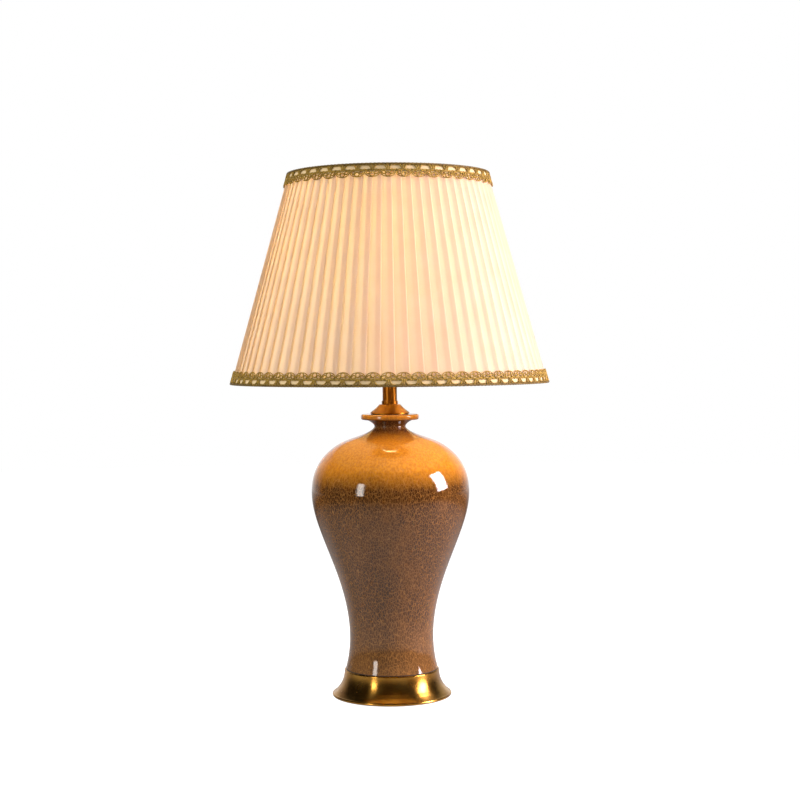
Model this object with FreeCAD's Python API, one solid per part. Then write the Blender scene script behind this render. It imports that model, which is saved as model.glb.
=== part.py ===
import FreeCAD, Part
import math
import os

# Ginger jar lamp: a glazed stoneware jar on a spun brass foot, a brass neck with a lamp socket,
# a detachable wire harp, and a knife-pleated cloth shade held on the harp by a finial.
#
# The frame: Z = 0 is the table, +Z is up, and the lamp's axis is the Z axis. The harp stands in
# the XZ plane, the switch knob points to -Y, and the cord inlet is at the back, towards +Y.
# All sizes are millimetres.

V = FreeCAD.Vector
AXIS = V(0, 0, 1)

# Fits. Every piece that meets another takes one of these.
RUNNING_FIT = 0.05
SEAT_GAP = 0.1
LOOSE_GAP = 0.3
# A cutting shape runs past the piece that it cuts by this much.
OVERSHOOT = 1.0

# Brass foot, its weight and its felt.
FOOT_RIM_RADIUS = 75.0
FOOT_TOP_RADIUS = 59.6
FOOT_HEIGHT = 34.0
FOOT_WALL = 1.2
FOOT_LIFT = 0.6
RIM_BEAD = 3.8
SKIRT_BOW = 3.5
TOP_EDGE_ROUND = 1.6
FELT_INSET = 3.2
FELT_THICKNESS = 2.0
WEIGHT_THICKNESS = 10.0
WEIGHT_BORE_RADIUS = 14.0

# Cord inlet in the back of the skirt.
INLET_HEIGHT = 20.0
INLET_BORE_RADIUS = 3.2
INLET_TUBE_RADIUS = 4.6
INLET_FLANGE_RADIUS = 6.6
INLET_FLANGE_THICKNESS = 2.0
INLET_LENGTH = 9.0

# Threaded pipe that draws the lamp together, and its nut and washers under the foot's deck.
PIPE_RADIUS = 5.0
PIPE_BORE_RADIUS = 3.3
PIPE_TAIL = 5.0
NUT_WIDTH = 14.3
NUT_THICKNESS = 5.0
LOCK_WASHER_RADIUS = 8.6
LOCK_WASHER_THICKNESS = 1.6
LOCK_WASHER_SPLIT = 1.2
WASHER_RADIUS = 16.0
WASHER_THICKNESS = 1.5

# Jar. Heights are above the bottom of its foot ring.
FOOT_GASKET_THICKNESS = 1.0
FOOT_GASKET_INSET = 0.6
JAR_HEIGHT = 319.1
JAR_FOOT_RADIUS = 57.9
JAR_WAIST_RADIUS = 52.6
JAR_WAIST_HEIGHT = 40.0
JAR_BELLY_RADIUS = 99.0
JAR_BELLY_HEIGHT = 223.0
JAR_NECK_RADIUS = 19.6
JAR_NECK_HEIGHT = 304.5
JAR_LIP_RADIUS = 36.5
JAR_LIP_THICKNESS = 7.0
JAR_LIP_ROUND = 2.6
JAR_WALL = 7.0
JAR_FLOOR = 8.0
JAR_FOOT_RING_WIDTH = 9.0
JAR_FOOT_RECESS = 3.0
JAR_FLOOR_HOLE_RADIUS = 7.0

# Brass cap on the jar's mouth, the collar and the neck tube above it.
CAP_GASKET_THICKNESS = 0.5
CAP_GASKET_RADIUS = 23.2
CAP_RADIUS = 24.5
CAP_RIM_HEIGHT = 1.4
CAP_HEIGHT = 11.4
CAP_TOP_RADIUS = 13.2
CAP_WALL = 1.0
CAP_HOLLOW = 0.5
COLLAR_RADIUS = 10.2
COLLAR_HEIGHT = 4.9
COLLAR_CHAMFER = 0.8
NECK_RADIUS = 9.05
NECK_WALL = 1.0
NECK_LENGTH = 28.1

# Harp saddle under the socket.
SADDLE_THICKNESS = 1.6
SADDLE_WIDTH = 12.0
SADDLE_DISC_RADIUS = 13.0
SADDLE_TAB_HEIGHT = 13.0
SADDLE_TAB_WIDTH = 8.0

# Harp, its ferrules and its stud.
HARP_HEIGHT = 228.6
HARP_WIRE_RADIUS = 1.6
HARP_FOOT_SPREAD = 29.5
HARP_WIDTH_SPREAD = 57.0
HARP_CROWN_SPREAD = 24.0
HARP_LEG = 37.4
HARP_SHOULDER_LOW = 105.4
HARP_SHOULDER_HIGH = 189.4
HARP_BENDS = (45.0, 70.0, 50.0, 24.0)
FERRULE_HEIGHT = 11.0
FERRULE_WALL = 0.7
STUD_RADIUS = 3.1
STUD_LENGTH = 14.0
STUD_CHAMFER = 0.5
STUD_SEAT_RADIUS = 9.0
STUD_SEAT_THICKNESS = 2.0
STUD_SLEEVE_RADIUS = 4.4

# Lamp socket. Heights are above the saddle.
SOCKET_HUB_RADIUS = 7.2
SOCKET_HUB_HEIGHT = 6.4
SOCKET_CAP_RADIUS = 17.4
SOCKET_CAP_SHOULDER = 16.0
SOCKET_CAP_HEIGHT = 24.4
SOCKET_SHEET = 0.7
SOCKET_SHELL_BOTTOM = 17.5
SOCKET_HEIGHT = 61.4
SWITCH_BLOCK_RADIUS = 14.6
SWITCH_BLOCK_BOTTOM = 18.4
SWITCH_BLOCK_TOP = 35.4
SWITCH_BLOCK_FLAT = 11.4
SCREW_SHELL_RADIUS = 14.1
SCREW_SHELL_WALL = 0.5
SCREW_SHELL_RECESS = 2.0
SOCKET_LINER_RECESS = 1.0
CONTACT_TONGUE_WIDTH = 6.0
CONTACT_TONGUE_THICKNESS = 0.6
CONTACT_TONGUE_RISE = 2.6
TERMINAL_HEAD_RADIUS = 3.2
TERMINAL_HEAD_THICKNESS = 1.8
TERMINAL_SHANK_RADIUS = 1.6
TERMINAL_SHANK_LENGTH = 5.0
TERMINAL_HEIGHT = 25.0

# Switch shaft and knob, along -Y.
KNOB_SHAFT_RADIUS = 2.0
KNOB_SHAFT_HEIGHT = 28.4
KNOB_SHAFT_DEPTH = 8.6
KNOB_SLOT_WIDTH = 6.6
KNOB_STANDOFF = 3.6
KNOB_LENGTH = 15.0
KNOB_NECK_LENGTH = 3.0
KNOB_NECK_RADIUS = 3.6
KNOB_NECK_FLARE = 1.0
KNOB_END_CHAMFER = 1.6
KNOB_BORE_DEPTH = 10.5
KNOB_RADIUS = 5.6
KNOB_FLUTES = 10
KNOB_FLUTE_RADIUS = 1.1

# Bulb with a standard medium screw cap.
BULB_CAP_RADIUS = 13.15
BULB_CAP_LENGTH = 24.0
BULB_CAP_WALL = 0.5
BULB_CAP_TAPER = 3.0
BULB_SPIGOT_RECESS = 6.0
BULB_TIP_RADIUS = 4.5
BULB_TIP_THICKNESS = 1.2
BULB_INSULATOR_RADIUS = 9.0
BULB_INSULATOR_HEIGHT = 3.0
BULB_RADIUS = 30.0
BULB_LENGTH = 106.0
BULB_HOUSING_RADIUS = 27.6
BULB_HOUSING_HEIGHT = 64.0
BULB_HOUSING_WAIST_RADIUS = 19.2
BULB_GLOBE_WALL = 1.2
BULB_GLOBE_BULGE = 1.8
LED_BOARD_RADIUS = 24.0
LED_BOARD_THICKNESS = 1.6

# Shade. Radii are of its outermost face, the braid, at its lower and upper edge.
SHADE_BOTTOM_RADIUS = 200.0
SHADE_TOP_RADIUS = 126.5
SHADE_HEIGHT = 262.0
SPIDER_RECESS = 25.3
PLEAT_COUNT = 72
PLEAT_FIRST_ANGLE = 1.8
PLEAT_DEPTH = 2.6
PLEAT_RISE = 0.45
PLEAT_SINGLE = 0.55
PLEAT_OVERHANG = 0.03
CLOTH_BACKING = 0.7
CLOTH_GAP = 0.2
LINER_THICKNESS = 0.8
EDGE_MARGIN = 1.0
RING_WIRE_RADIUS = 1.7
RING_SIDES = 8
TAPE_THICKNESS = 0.5
TAPE_BEAD_RADIUS = 1.25
TAPE_OUTER_FLAP = 11.0
TAPE_INNER_FLAP = 9.0
BRAID_THICKNESS = 1.2
BRAID_HEIGHT = 17.0
BRAID_PITCH = 17.95
BRAID_SEAT = 0.4
SCALLOP_DEPTH = 6.6
SCALLOP_CHORDS = 6

# Spider that carries the shade, and the finial over it.
SPIDER_ARMS = 3
SPIDER_FIRST_ANGLE = 90.0
SPIDER_WIRE_RADIUS = 1.7
SPIDER_BEND = 12.0
SPIDER_WASHER_RADIUS = 11.0
SPIDER_WASHER_BORE = 4.0
SPIDER_WASHER_THICKNESS = 1.6
TAPE_NOTCH_WIDTH = 5.0
FINIAL_HEIGHT = 26.0
FINIAL_FOOT_RADIUS = 8.0
FINIAL_FOOT_HEIGHT = 2.6
FINIAL_WAIST_RADIUS = 4.8
FINIAL_BALL_RADIUS = 8.2
FINIAL_TIP_RADIUS = 2.4
FINIAL_TIP_HEIGHT = 3.6
FINIAL_FOOT_CHAMFER = 0.8
FINIAL_TIP_CHAMFER = 1.0
FINIAL_WAIST_DROP = 1.0
FINIAL_NECK_SHARE = 0.8
FINIAL_BORE_DEPTH = 15.0

# Heights of the stack, each piece standing on the one below.
deck_z = FOOT_HEIGHT
deck_under_z = deck_z - FOOT_WALL
washer_z = deck_under_z - WASHER_THICKNESS
lock_washer_z = washer_z - LOCK_WASHER_THICKNESS
nut_z = lock_washer_z - NUT_THICKNESS
pipe_bottom_z = nut_z - PIPE_TAIL
jar_z = deck_z + FOOT_GASKET_THICKNESS
jar_top_z = jar_z + JAR_HEIGHT
cap_z = jar_top_z + CAP_GASKET_THICKNESS
collar_z = cap_z + CAP_HEIGHT
neck_z = collar_z + COLLAR_HEIGHT
saddle_z = neck_z + NECK_LENGTH
saddle_top_z = saddle_z + SADDLE_THICKNESS
pipe_top_z = saddle_top_z + SOCKET_HUB_HEIGHT
seat_z = saddle_top_z + HARP_HEIGHT
crown_z = seat_z - STUD_SEAT_THICKNESS - HARP_WIRE_RADIUS - 2 * LOOSE_GAP
finial_z = seat_z + SPIDER_WASHER_THICKNESS
shade_top_z = seat_z + SPIDER_RECESS
shade_bottom_z = shade_top_z - SHADE_HEIGHT
socket_top_z = saddle_top_z + SOCKET_HEIGHT
block_top_z = saddle_top_z + SWITCH_BLOCK_TOP
knob_z = saddle_top_z + KNOB_SHAFT_HEIGHT


# Ways of making solids.


def at(radius, height):
    """A point of an outline that is turned about the lamp's axis."""
    return V(radius, 0, height)


def line(start, end):
    return Part.LineSegment(start, end).toShape()


def arc(start, through, end):
    return Part.Arc(start, through, end).toShape()


def turned(edges):
    """The solid that a closed outline in the XZ plane sweeps about the lamp's axis."""
    return Part.Face(Part.Wire(edges)).revolve(V(0, 0, 0), AXIS, 360)


def turned_points(points):
    """A turned solid with straight sides between (radius, height) points."""
    corners = [at(*p) for p in points]
    return turned([line(a, b) for a, b in zip(corners, corners[1:] + corners[:1])])


def tube(outer, inner, low, high):
    """A flat-ended ring about the lamp's axis."""
    return turned_points([(inner, low), (outer, low), (outer, high), (inner, high)])


def bent_path(points, bends):
    """Straight runs between the points, with a tangent arc of each bend radius at the corners."""
    edges = []
    start = points[0]
    for before, corner, after, bend in zip(points, points[1:], points[2:], bends):
        into = (corner - before).normalize()
        out = (after - corner).normalize()
        half_turn = into.getAngle(out) / 2
        reach = bend * math.tan(half_turn)
        sag = bend / math.cos(half_turn) - bend
        arc_start = corner - into * reach
        arc_end = corner + out * reach
        edges.append(line(start, arc_start))
        edges.append(arc(arc_start, corner + (out - into).normalize() * sag, arc_end))
        start = arc_end
    edges.append(line(start, points[-1]))
    return Part.Wire(edges)


def round_wire(path, start, direction, radius):
    """A round wire drawn along a path."""
    section = Part.Wire(Part.Circle(start, direction, radius).toShape())
    return path.makePipeShell([section], True, False)


def prism(corners, rise):
    """A straight-sided solid from a flat outline."""
    return Part.Face(Part.makePolygon(corners + corners[:1])).extrude(rise)


def box(x_range, y_range, z_range):
    low, high = zip(x_range, y_range, z_range)
    size = [b - a for a, b in zip(low, high)]
    return Part.makeBox(*size, V(*low))


def save(name, shape):
    shape.exportStep(f"parts/{name}.step")


# Brass foot.

bead_top_z = FOOT_LIFT + RIM_BEAD
bead_inside = FOOT_RIM_RADIUS - RIM_BEAD
skirt_low = (FOOT_RIM_RADIUS - RIM_BEAD / 2, bead_top_z)
skirt_high = (FOOT_TOP_RADIUS, FOOT_HEIGHT - TOP_EDGE_ROUND)


def skirt_circle():
    """Centre and radius, in (radius, height), of the hollow curve that the skirt flares along."""
    across = skirt_high[0] - skirt_low[0]
    up = skirt_high[1] - skirt_low[1]
    chord = math.hypot(across, up)
    radius = chord**2 / (8 * SKIRT_BOW) + SKIRT_BOW / 2
    reach = radius - SKIRT_BOW
    middle = ((skirt_low[0] + skirt_high[0]) / 2, (skirt_low[1] + skirt_high[1]) / 2)
    return (middle[0] + reach * up / chord, middle[1] - reach * across / chord), radius


def skirt_radius(height):
    """The skirt's outer radius at a height."""
    centre, radius = skirt_circle()
    return centre[0] - math.sqrt(radius**2 - (height - centre[1]) ** 2)


def foot_shell():
    """Spun brass: a flat deck, a hollow flare and a rolled rim, with the cord's hole in the back."""
    middle = (skirt_low[1] + skirt_high[1]) / 2
    deck_edge = FOOT_TOP_RADIUS - TOP_EDGE_ROUND
    corner = TOP_EDGE_ROUND * (1 - math.sqrt(0.5))
    rim_middle = FOOT_LIFT + RIM_BEAD / 2
    bead_edge = FOOT_RIM_RADIUS - RIM_BEAD / 2
    bore = PIPE_RADIUS + LOOSE_GAP
    waist = at(skirt_radius(middle) - FOOT_WALL, middle)
    shell = turned(
        [
            line(at(bore, deck_z), at(deck_edge, deck_z)),
            arc(
                at(deck_edge, deck_z),
                at(FOOT_TOP_RADIUS - corner, deck_z - corner),
                at(*skirt_high),
            ),
            arc(at(*skirt_high), at(skirt_radius(middle), middle), at(*skirt_low)),
            arc(
                at(bead_edge, bead_top_z),
                at(FOOT_RIM_RADIUS, rim_middle),
                at(bead_edge, FOOT_LIFT),
            ),
            line(at(bead_edge, FOOT_LIFT), at(bead_inside, rim_middle)),
            line(at(bead_inside, rim_middle), at(skirt_low[0] - FOOT_WALL, bead_top_z)),
            line(at(skirt_low[0] - FOOT_WALL, bead_top_z), waist),
            line(waist, at(FOOT_TOP_RADIUS - FOOT_WALL, deck_under_z)),
            line(at(FOOT_TOP_RADIUS - FOOT_WALL, deck_under_z), at(bore, deck_under_z)),
            line(at(bore, deck_under_z), at(bore, deck_z)),
        ]
    )
    place, out = inlet_place()
    hole = Part.makeCylinder(
        INLET_TUBE_RADIUS + SEAT_GAP, 4 * INLET_LENGTH, place - out * 2 * INLET_LENGTH, out
    )
    return shell.cut(hole)


def foot_weight():
    """Cast iron ring that fills the flare just inside the rim."""
    low = FELT_THICKNESS
    high = low + WEIGHT_THICKNESS
    wide = bead_inside - LOOSE_GAP
    top = skirt_radius(high) - FOOT_WALL - LOOSE_GAP
    return turned_points(
        [
            (WEIGHT_BORE_RADIUS, low),
            (wide, low),
            (top, high),
            (WEIGHT_BORE_RADIUS, high),
        ]
    )


def inlet_place():
    """Where the inlet sits on the skirt's back, and the way out of its mouth."""
    centre, radius = skirt_circle()
    across = centre[0] - skirt_radius(INLET_HEIGHT)
    up = centre[1] - INLET_HEIGHT
    return V(0, skirt_radius(INLET_HEIGHT), INLET_HEIGHT), V(0, across, up).normalize()


def cord_inlet():
    """A flanged bush pressed into the skirt. Its flat flange bridges the hollow of the flare."""
    place, out = inlet_place()
    inner_end = place - out * (INLET_LENGTH - INLET_FLANGE_THICKNESS)
    flare_radius = skirt_circle()[1]
    hollow = flare_radius - math.sqrt(flare_radius**2 - INLET_FLANGE_RADIUS**2) + SEAT_GAP
    body = Part.makeCylinder(INLET_TUBE_RADIUS, INLET_LENGTH, inner_end, out)
    flange = Part.makeCylinder(
        INLET_FLANGE_RADIUS, INLET_FLANGE_THICKNESS - hollow, place + out * hollow, out
    )
    bore = Part.makeCylinder(INLET_BORE_RADIUS, 2 * INLET_LENGTH, inner_end - out, out)
    return body.fuse(flange).removeSplitter().cut(bore)


# Clamping pipe and its fasteners.


def hex_nut():
    corner = NUT_WIDTH / math.sqrt(3)
    points = []
    for i in range(6):
        angle = math.radians(60 * i)
        points.append(V(corner * math.cos(angle), corner * math.sin(angle), nut_z))
    bore = Part.makeCylinder(PIPE_RADIUS + RUNNING_FIT, NUT_THICKNESS, V(0, 0, nut_z))
    return prism(points, V(0, 0, NUT_THICKNESS)).cut(bore)


def lock_washer():
    ring = tube(LOCK_WASHER_RADIUS, PIPE_RADIUS + SEAT_GAP, lock_washer_z, washer_z)
    half = LOCK_WASHER_SPLIT / 2
    split = box((0, 2 * LOCK_WASHER_RADIUS), (-half, half), (nut_z, deck_z))
    return ring.cut(split)


# Jar.


def part_way(low, high, rise, spread):
    """A point between two of the jar's widths, by its share of the height and of the radius."""
    return (low[0] + (high[0] - low[0]) * spread, low[1] + (high[1] - low[1]) * rise)


jar_foot = (JAR_FOOT_RADIUS, jar_z)
jar_waist = (JAR_WAIST_RADIUS, jar_z + JAR_WAIST_HEIGHT)
jar_belly = (JAR_BELLY_RADIUS, jar_z + JAR_BELLY_HEIGHT)
jar_neck = (JAR_NECK_RADIUS, jar_z + JAR_NECK_HEIGHT)
jar_lip = (JAR_LIP_RADIUS - JAR_LIP_ROUND, jar_top_z - JAR_LIP_THICKNESS)

# The thrown outline, from the foot up to the narrowest point of the neck.
jar_outline = [
    jar_foot,
    jar_waist,
    part_way(jar_waist, jar_belly, 0.41, 0.30),
    part_way(jar_waist, jar_belly, 0.71, 0.745),
    jar_belly,
    part_way(jar_belly, jar_neck, 0.319, 0.062),
    part_way(jar_belly, jar_neck, 0.736, 0.465),
    part_way(jar_belly, jar_neck, 0.836, 0.729),
    part_way(jar_belly, jar_neck, 0.910, 0.910),
    jar_neck,
]


def inset(points, distance):
    """The inner points of an outline, moved inwards by the wall."""
    moved = []
    for before, point, after in zip(points, points[1:], points[2:]):
        run = (after[0] - before[0], after[1] - before[1])
        length = math.hypot(*run)
        moved.append(
            (point[0] - distance * run[1] / length, point[1] + distance * run[0] / length)
        )
    return moved


def jar():
    """Stoneware with an even wall, a flat lip, a turned foot ring and a drilled floor."""
    neck_flare = part_way(jar_neck, jar_lip, 0.54, 0.24)
    curve = Part.BSplineCurve()
    curve.interpolate([at(*p) for p in jar_outline + [neck_flare, jar_lip]])
    bulge = JAR_LIP_ROUND * (1 - math.sqrt(0.5))
    lip_low_z = jar_top_z - JAR_LIP_THICKNESS
    edge_low = at(JAR_LIP_RADIUS, lip_low_z + JAR_LIP_ROUND)
    edge_high = at(JAR_LIP_RADIUS, jar_top_z - JAR_LIP_ROUND)
    lip_top = at(JAR_LIP_RADIUS - JAR_LIP_ROUND, jar_top_z)
    ring_inside = JAR_FOOT_RADIUS - JAR_FOOT_RING_WIDTH
    recess_z = jar_z + JAR_FOOT_RECESS
    floor_z = recess_z + JAR_FLOOR
    bore = JAR_NECK_RADIUS - JAR_WALL
    inner = [p for p in inset(jar_outline, JAR_WALL) if p[1] > floor_z]
    inside = [
        (bore, jar_top_z),
        (bore, jar_neck[1]),
        *reversed(inner),
        (jar_foot[0] - JAR_WALL, floor_z),
        (JAR_FLOOR_HOLE_RADIUS, floor_z),
        (JAR_FLOOR_HOLE_RADIUS, recess_z),
        (ring_inside, recess_z),
        (ring_inside, jar_z),
        jar_foot,
    ]
    points = [at(*p) for p in inside]
    edges = [
        curve.toShape(),
        arc(at(*jar_lip), at(JAR_LIP_RADIUS - bulge, lip_low_z + bulge), edge_low),
        line(edge_low, edge_high),
        arc(edge_high, at(JAR_LIP_RADIUS - bulge, jar_top_z - bulge), lip_top),
        line(lip_top, points[0]),
    ]
    edges += [line(a, b) for a, b in zip(points, points[1:])]
    return turned(edges)


def foot_gasket():
    """Thin ring that keeps the glazed foot off the brass deck."""
    outer = JAR_FOOT_RADIUS - FOOT_GASKET_INSET
    return tube(outer, JAR_FOOT_RADIUS - JAR_FOOT_RING_WIDTH, deck_z, jar_z)


# Neck.


def vase_cap():
    """Spun brass cap: a short upright rim, then a hollow slope up to a flat top."""
    rim_z = cap_z + CAP_RIM_HEIGHT
    top_z = cap_z + CAP_HEIGHT
    slope_low = at(CAP_RADIUS - CAP_RIM_HEIGHT / 2, rim_z + CAP_RIM_HEIGHT / 2)
    slope_high = at(CAP_TOP_RADIUS, top_z)
    down = (slope_low - slope_high).normalize()
    hollow = V(-down.z, 0, down.x).normalize() * CAP_HOLLOW
    if hollow.z > 0:
        hollow = hollow * -1
    slope_middle = (slope_low + slope_high) * 0.5 + hollow
    drop = V(0, 0, -CAP_WALL * 1.5)
    inside_low = at(CAP_RADIUS - CAP_WALL, rim_z - CAP_WALL / 2)
    bore = PIPE_RADIUS + SEAT_GAP
    return turned(
        [
            line(at(CAP_RADIUS, cap_z), at(CAP_RADIUS, rim_z)),
            line(at(CAP_RADIUS, rim_z), slope_low),
            arc(slope_low, slope_middle, slope_high),
            line(slope_high, at(bore, top_z)),
            line(at(bore, top_z), at(bore, top_z - CAP_WALL)),
            line(at(bore, top_z - CAP_WALL), at(CAP_TOP_RADIUS - CAP_WALL, top_z - CAP_WALL)),
            arc(at(CAP_TOP_RADIUS - CAP_WALL, top_z - CAP_WALL), slope_middle + drop, inside_low),
            line(inside_low, at(CAP_RADIUS - CAP_WALL, cap_z)),
            line(at(CAP_RADIUS - CAP_WALL, cap_z), at(CAP_RADIUS, cap_z)),
        ]
    )


def collar():
    """Turned check ring with broken edges."""
    bore = PIPE_RADIUS + SEAT_GAP
    flat = COLLAR_RADIUS - COLLAR_CHAMFER
    return turned_points(
        [
            (bore, collar_z),
            (flat, collar_z),
            (COLLAR_RADIUS, collar_z + COLLAR_CHAMFER),
            (COLLAR_RADIUS, neck_z - COLLAR_CHAMFER),
            (flat, neck_z),
            (bore, neck_z),
        ]
    )


# Harp and its saddle.

leg_x = HARP_FOOT_SPREAD
tab_inside_x = leg_x + HARP_WIRE_RADIUS + LOOSE_GAP
tab_outside_x = tab_inside_x + SADDLE_THICKNESS


def saddle():
    """Flat steel bar with a round middle, bored for the pipe and bent up at both ends."""
    half = SADDLE_WIDTH / 2
    bar = box((-tab_outside_x, tab_outside_x), (-half, half), (saddle_z, saddle_top_z))
    disc = Part.makeCylinder(SADDLE_DISC_RADIUS, SADDLE_THICKNESS, V(0, 0, saddle_z))
    body = bar.fuse(disc)
    tab_top_z = saddle_top_z + SADDLE_TAB_HEIGHT
    half = SADDLE_TAB_WIDTH / 2
    for low, high in ((tab_inside_x, tab_outside_x), (-tab_outside_x, -tab_inside_x)):
        body = body.fuse(box((low, high), (-half, half), (saddle_z, tab_top_z)))
    body = body.removeSplitter()
    hole = Part.makeCylinder(
        PIPE_RADIUS + SEAT_GAP, 3 * SADDLE_THICKNESS, V(0, 0, saddle_z - SADDLE_THICKNESS)
    )
    return body.cut(hole)


def ferrule(side):
    """Sleeve that locks a harp leg to its saddle tab; side is 1 at +X and -1 at -X."""
    low_x = leg_x - HARP_WIRE_RADIUS - LOOSE_GAP
    high_x = tab_outside_x + LOOSE_GAP
    half_y = SADDLE_TAB_WIDTH / 2 + LOOSE_GAP
    top_z = saddle_top_z + FERRULE_HEIGHT
    inside = box((low_x, high_x), (-half_y, half_y), (saddle_top_z, top_z))
    outside = box(
        (low_x - FERRULE_WALL, high_x + FERRULE_WALL),
        (-half_y - FERRULE_WALL, half_y + FERRULE_WALL),
        (saddle_top_z, top_z),
    )
    upright = [e for e in outside.Edges if abs(e.tangentAt(e.FirstParameter).z) > 0.9]
    sleeve = outside.makeFillet(2 * FERRULE_WALL, upright).cut(inside)
    return sleeve if side > 0 else sleeve.mirror(V(0, 0, 0), V(1, 0, 0))


def harp_wire():
    """One bent wire: straight legs for the ferrules, wide shoulders round the bulb, a flat crown."""
    right = [
        V(HARP_FOOT_SPREAD, 0, saddle_top_z),
        V(HARP_FOOT_SPREAD, 0, saddle_top_z + HARP_LEG),
        V(HARP_WIDTH_SPREAD, 0, saddle_top_z + HARP_SHOULDER_LOW),
        V(HARP_WIDTH_SPREAD, 0, saddle_top_z + HARP_SHOULDER_HIGH),
        V(HARP_CROWN_SPREAD, 0, crown_z),
    ]
    left = [V(-p.x, p.y, p.z) for p in reversed(right)]
    path = bent_path(right + left, HARP_BENDS + HARP_BENDS[::-1])
    return round_wire(path, right[0], AXIS, HARP_WIRE_RADIUS)


def harp_stud():
    """Turned stud swaged over the crown: a sleeve, a seat for the shade's washer and a thread."""
    sleeve_z = crown_z - HARP_WIRE_RADIUS - 3 * LOOSE_GAP
    under_z = seat_z - STUD_SEAT_THICKNESS
    top_z = seat_z + STUD_LENGTH
    stud = turned_points(
        [
            (0, sleeve_z),
            (STUD_SLEEVE_RADIUS, sleeve_z),
            (STUD_SLEEVE_RADIUS, under_z),
            (STUD_SEAT_RADIUS, under_z),
            (STUD_SEAT_RADIUS, seat_z),
            (STUD_RADIUS, seat_z),
            (STUD_RADIUS, top_z - STUD_CHAMFER),
            (STUD_RADIUS - STUD_CHAMFER, top_z),
            (0, top_z),
        ]
    )
    reach = 2 * STUD_SLEEVE_RADIUS
    hole = Part.makeCylinder(
        HARP_WIRE_RADIUS + RUNNING_FIT, 2 * reach, V(-reach, 0, crown_z), V(1, 0, 0)
    )
    return stud.cut(hole)


# Socket.

shell_radius = SOCKET_CAP_RADIUS - SOCKET_SHEET - SEAT_GAP
liner_radius = shell_radius - SOCKET_SHEET - SEAT_GAP
shell_low_z = saddle_top_z + SOCKET_SHELL_BOTTOM


def knob_slot():
    """Round-topped slot in the front of the shell and its liner, open at their lower edge."""
    half = KNOB_SLOT_WIDTH / 2
    reach = 2 * SOCKET_CAP_RADIUS
    column = box((-half, half), (-reach, 0), (saddle_top_z, knob_z))
    top = Part.makeCylinder(half, reach, V(0, -reach, knob_z), V(0, 1, 0))
    return column.fuse(top)


def socket_cap():
    """Brass cup with a hub that screws onto the pipe."""
    hub_z = saddle_top_z + SOCKET_HUB_HEIGHT
    shoulder_z = saddle_top_z + SOCKET_CAP_SHOULDER
    rim_z = saddle_top_z + SOCKET_CAP_HEIGHT
    inside = SOCKET_CAP_RADIUS - SOCKET_SHEET
    bore = PIPE_RADIUS + SEAT_GAP
    middle = math.sqrt(0.5)
    across = SOCKET_CAP_RADIUS - SOCKET_HUB_RADIUS
    rise = shoulder_z - hub_z
    outer_mid = at(SOCKET_HUB_RADIUS + across * middle, hub_z + rise * (1 - middle))
    inner_mid = at(
        SOCKET_HUB_RADIUS + (across - SOCKET_SHEET) * middle,
        hub_z + SOCKET_SHEET + (rise - SOCKET_SHEET) * (1 - middle),
    )
    return turned(
        [
            line(at(bore, saddle_top_z), at(SOCKET_HUB_RADIUS, saddle_top_z)),
            line(at(SOCKET_HUB_RADIUS, saddle_top_z), at(SOCKET_HUB_RADIUS, hub_z)),
            arc(at(SOCKET_HUB_RADIUS, hub_z), outer_mid, at(SOCKET_CAP_RADIUS, shoulder_z)),
            line(at(SOCKET_CAP_RADIUS, shoulder_z), at(SOCKET_CAP_RADIUS, rim_z)),
            line(at(SOCKET_CAP_RADIUS, rim_z), at(inside, rim_z)),
            line(at(inside, rim_z), at(inside, shoulder_z)),
            arc(at(inside, shoulder_z), inner_mid, at(SOCKET_HUB_RADIUS, hub_z + SOCKET_SHEET)),
            line(at(SOCKET_HUB_RADIUS, hub_z + SOCKET_SHEET), at(bore, hub_z + SOCKET_SHEET)),
            line(at(bore, hub_z + SOCKET_SHEET), at(bore, saddle_top_z)),
        ]
    )


def socket_shell():
    """Thin brass sleeve pushed into the cap, with a beaded mouth."""
    bead = SOCKET_SHEET
    inside = shell_radius - SOCKET_SHEET
    sleeve = turned_points(
        [
            (inside, shell_low_z),
            (shell_radius, shell_low_z),
            (shell_radius, socket_top_z - 3 * bead),
            (shell_radius + bead, socket_top_z - 2 * bead),
            (shell_radius + bead, socket_top_z - bead),
            (shell_radius, socket_top_z),
            (inside, socket_top_z),
        ]
    )
    return sleeve.cut(knob_slot())


def socket_liner():
    """Insulating paper sleeve inside the shell."""
    top_z = socket_top_z - SOCKET_LINER_RECESS
    sleeve = tube(liner_radius, liner_radius - SOCKET_SHEET, shell_low_z, top_z)
    return sleeve.cut(knob_slot())


def switch_block():
    """Moulded block that holds the contacts, with flats for the terminals and the shaft's bore."""
    low = saddle_top_z + SWITCH_BLOCK_BOTTOM
    body = Part.makeCylinder(SWITCH_BLOCK_RADIUS, block_top_z - low, V(0, 0, low))
    reach = 2 * SWITCH_BLOCK_RADIUS
    flat_top = saddle_top_z + TERMINAL_HEIGHT + TERMINAL_HEAD_RADIUS + 2 * LOOSE_GAP
    for side in (-1, 1):
        edges = sorted((side * SWITCH_BLOCK_FLAT, side * reach))
        body = body.cut(box(edges, (-reach, reach), (low - OVERSHOOT, flat_top)))
        hole = Part.makeCylinder(
            TERMINAL_SHANK_RADIUS + RUNNING_FIT,
            TERMINAL_SHANK_LENGTH + LOOSE_GAP,
            V(side * SWITCH_BLOCK_FLAT, 0, saddle_top_z + TERMINAL_HEIGHT),
            V(-side, 0, 0),
        )
        body = body.cut(hole)
    bore = Part.makeCylinder(
        KNOB_SHAFT_RADIUS + RUNNING_FIT,
        KNOB_SHAFT_DEPTH + LOOSE_GAP,
        V(0, -SWITCH_BLOCK_RADIUS, knob_z),
        V(0, 1, 0),
    )
    return body.cut(bore)


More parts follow.
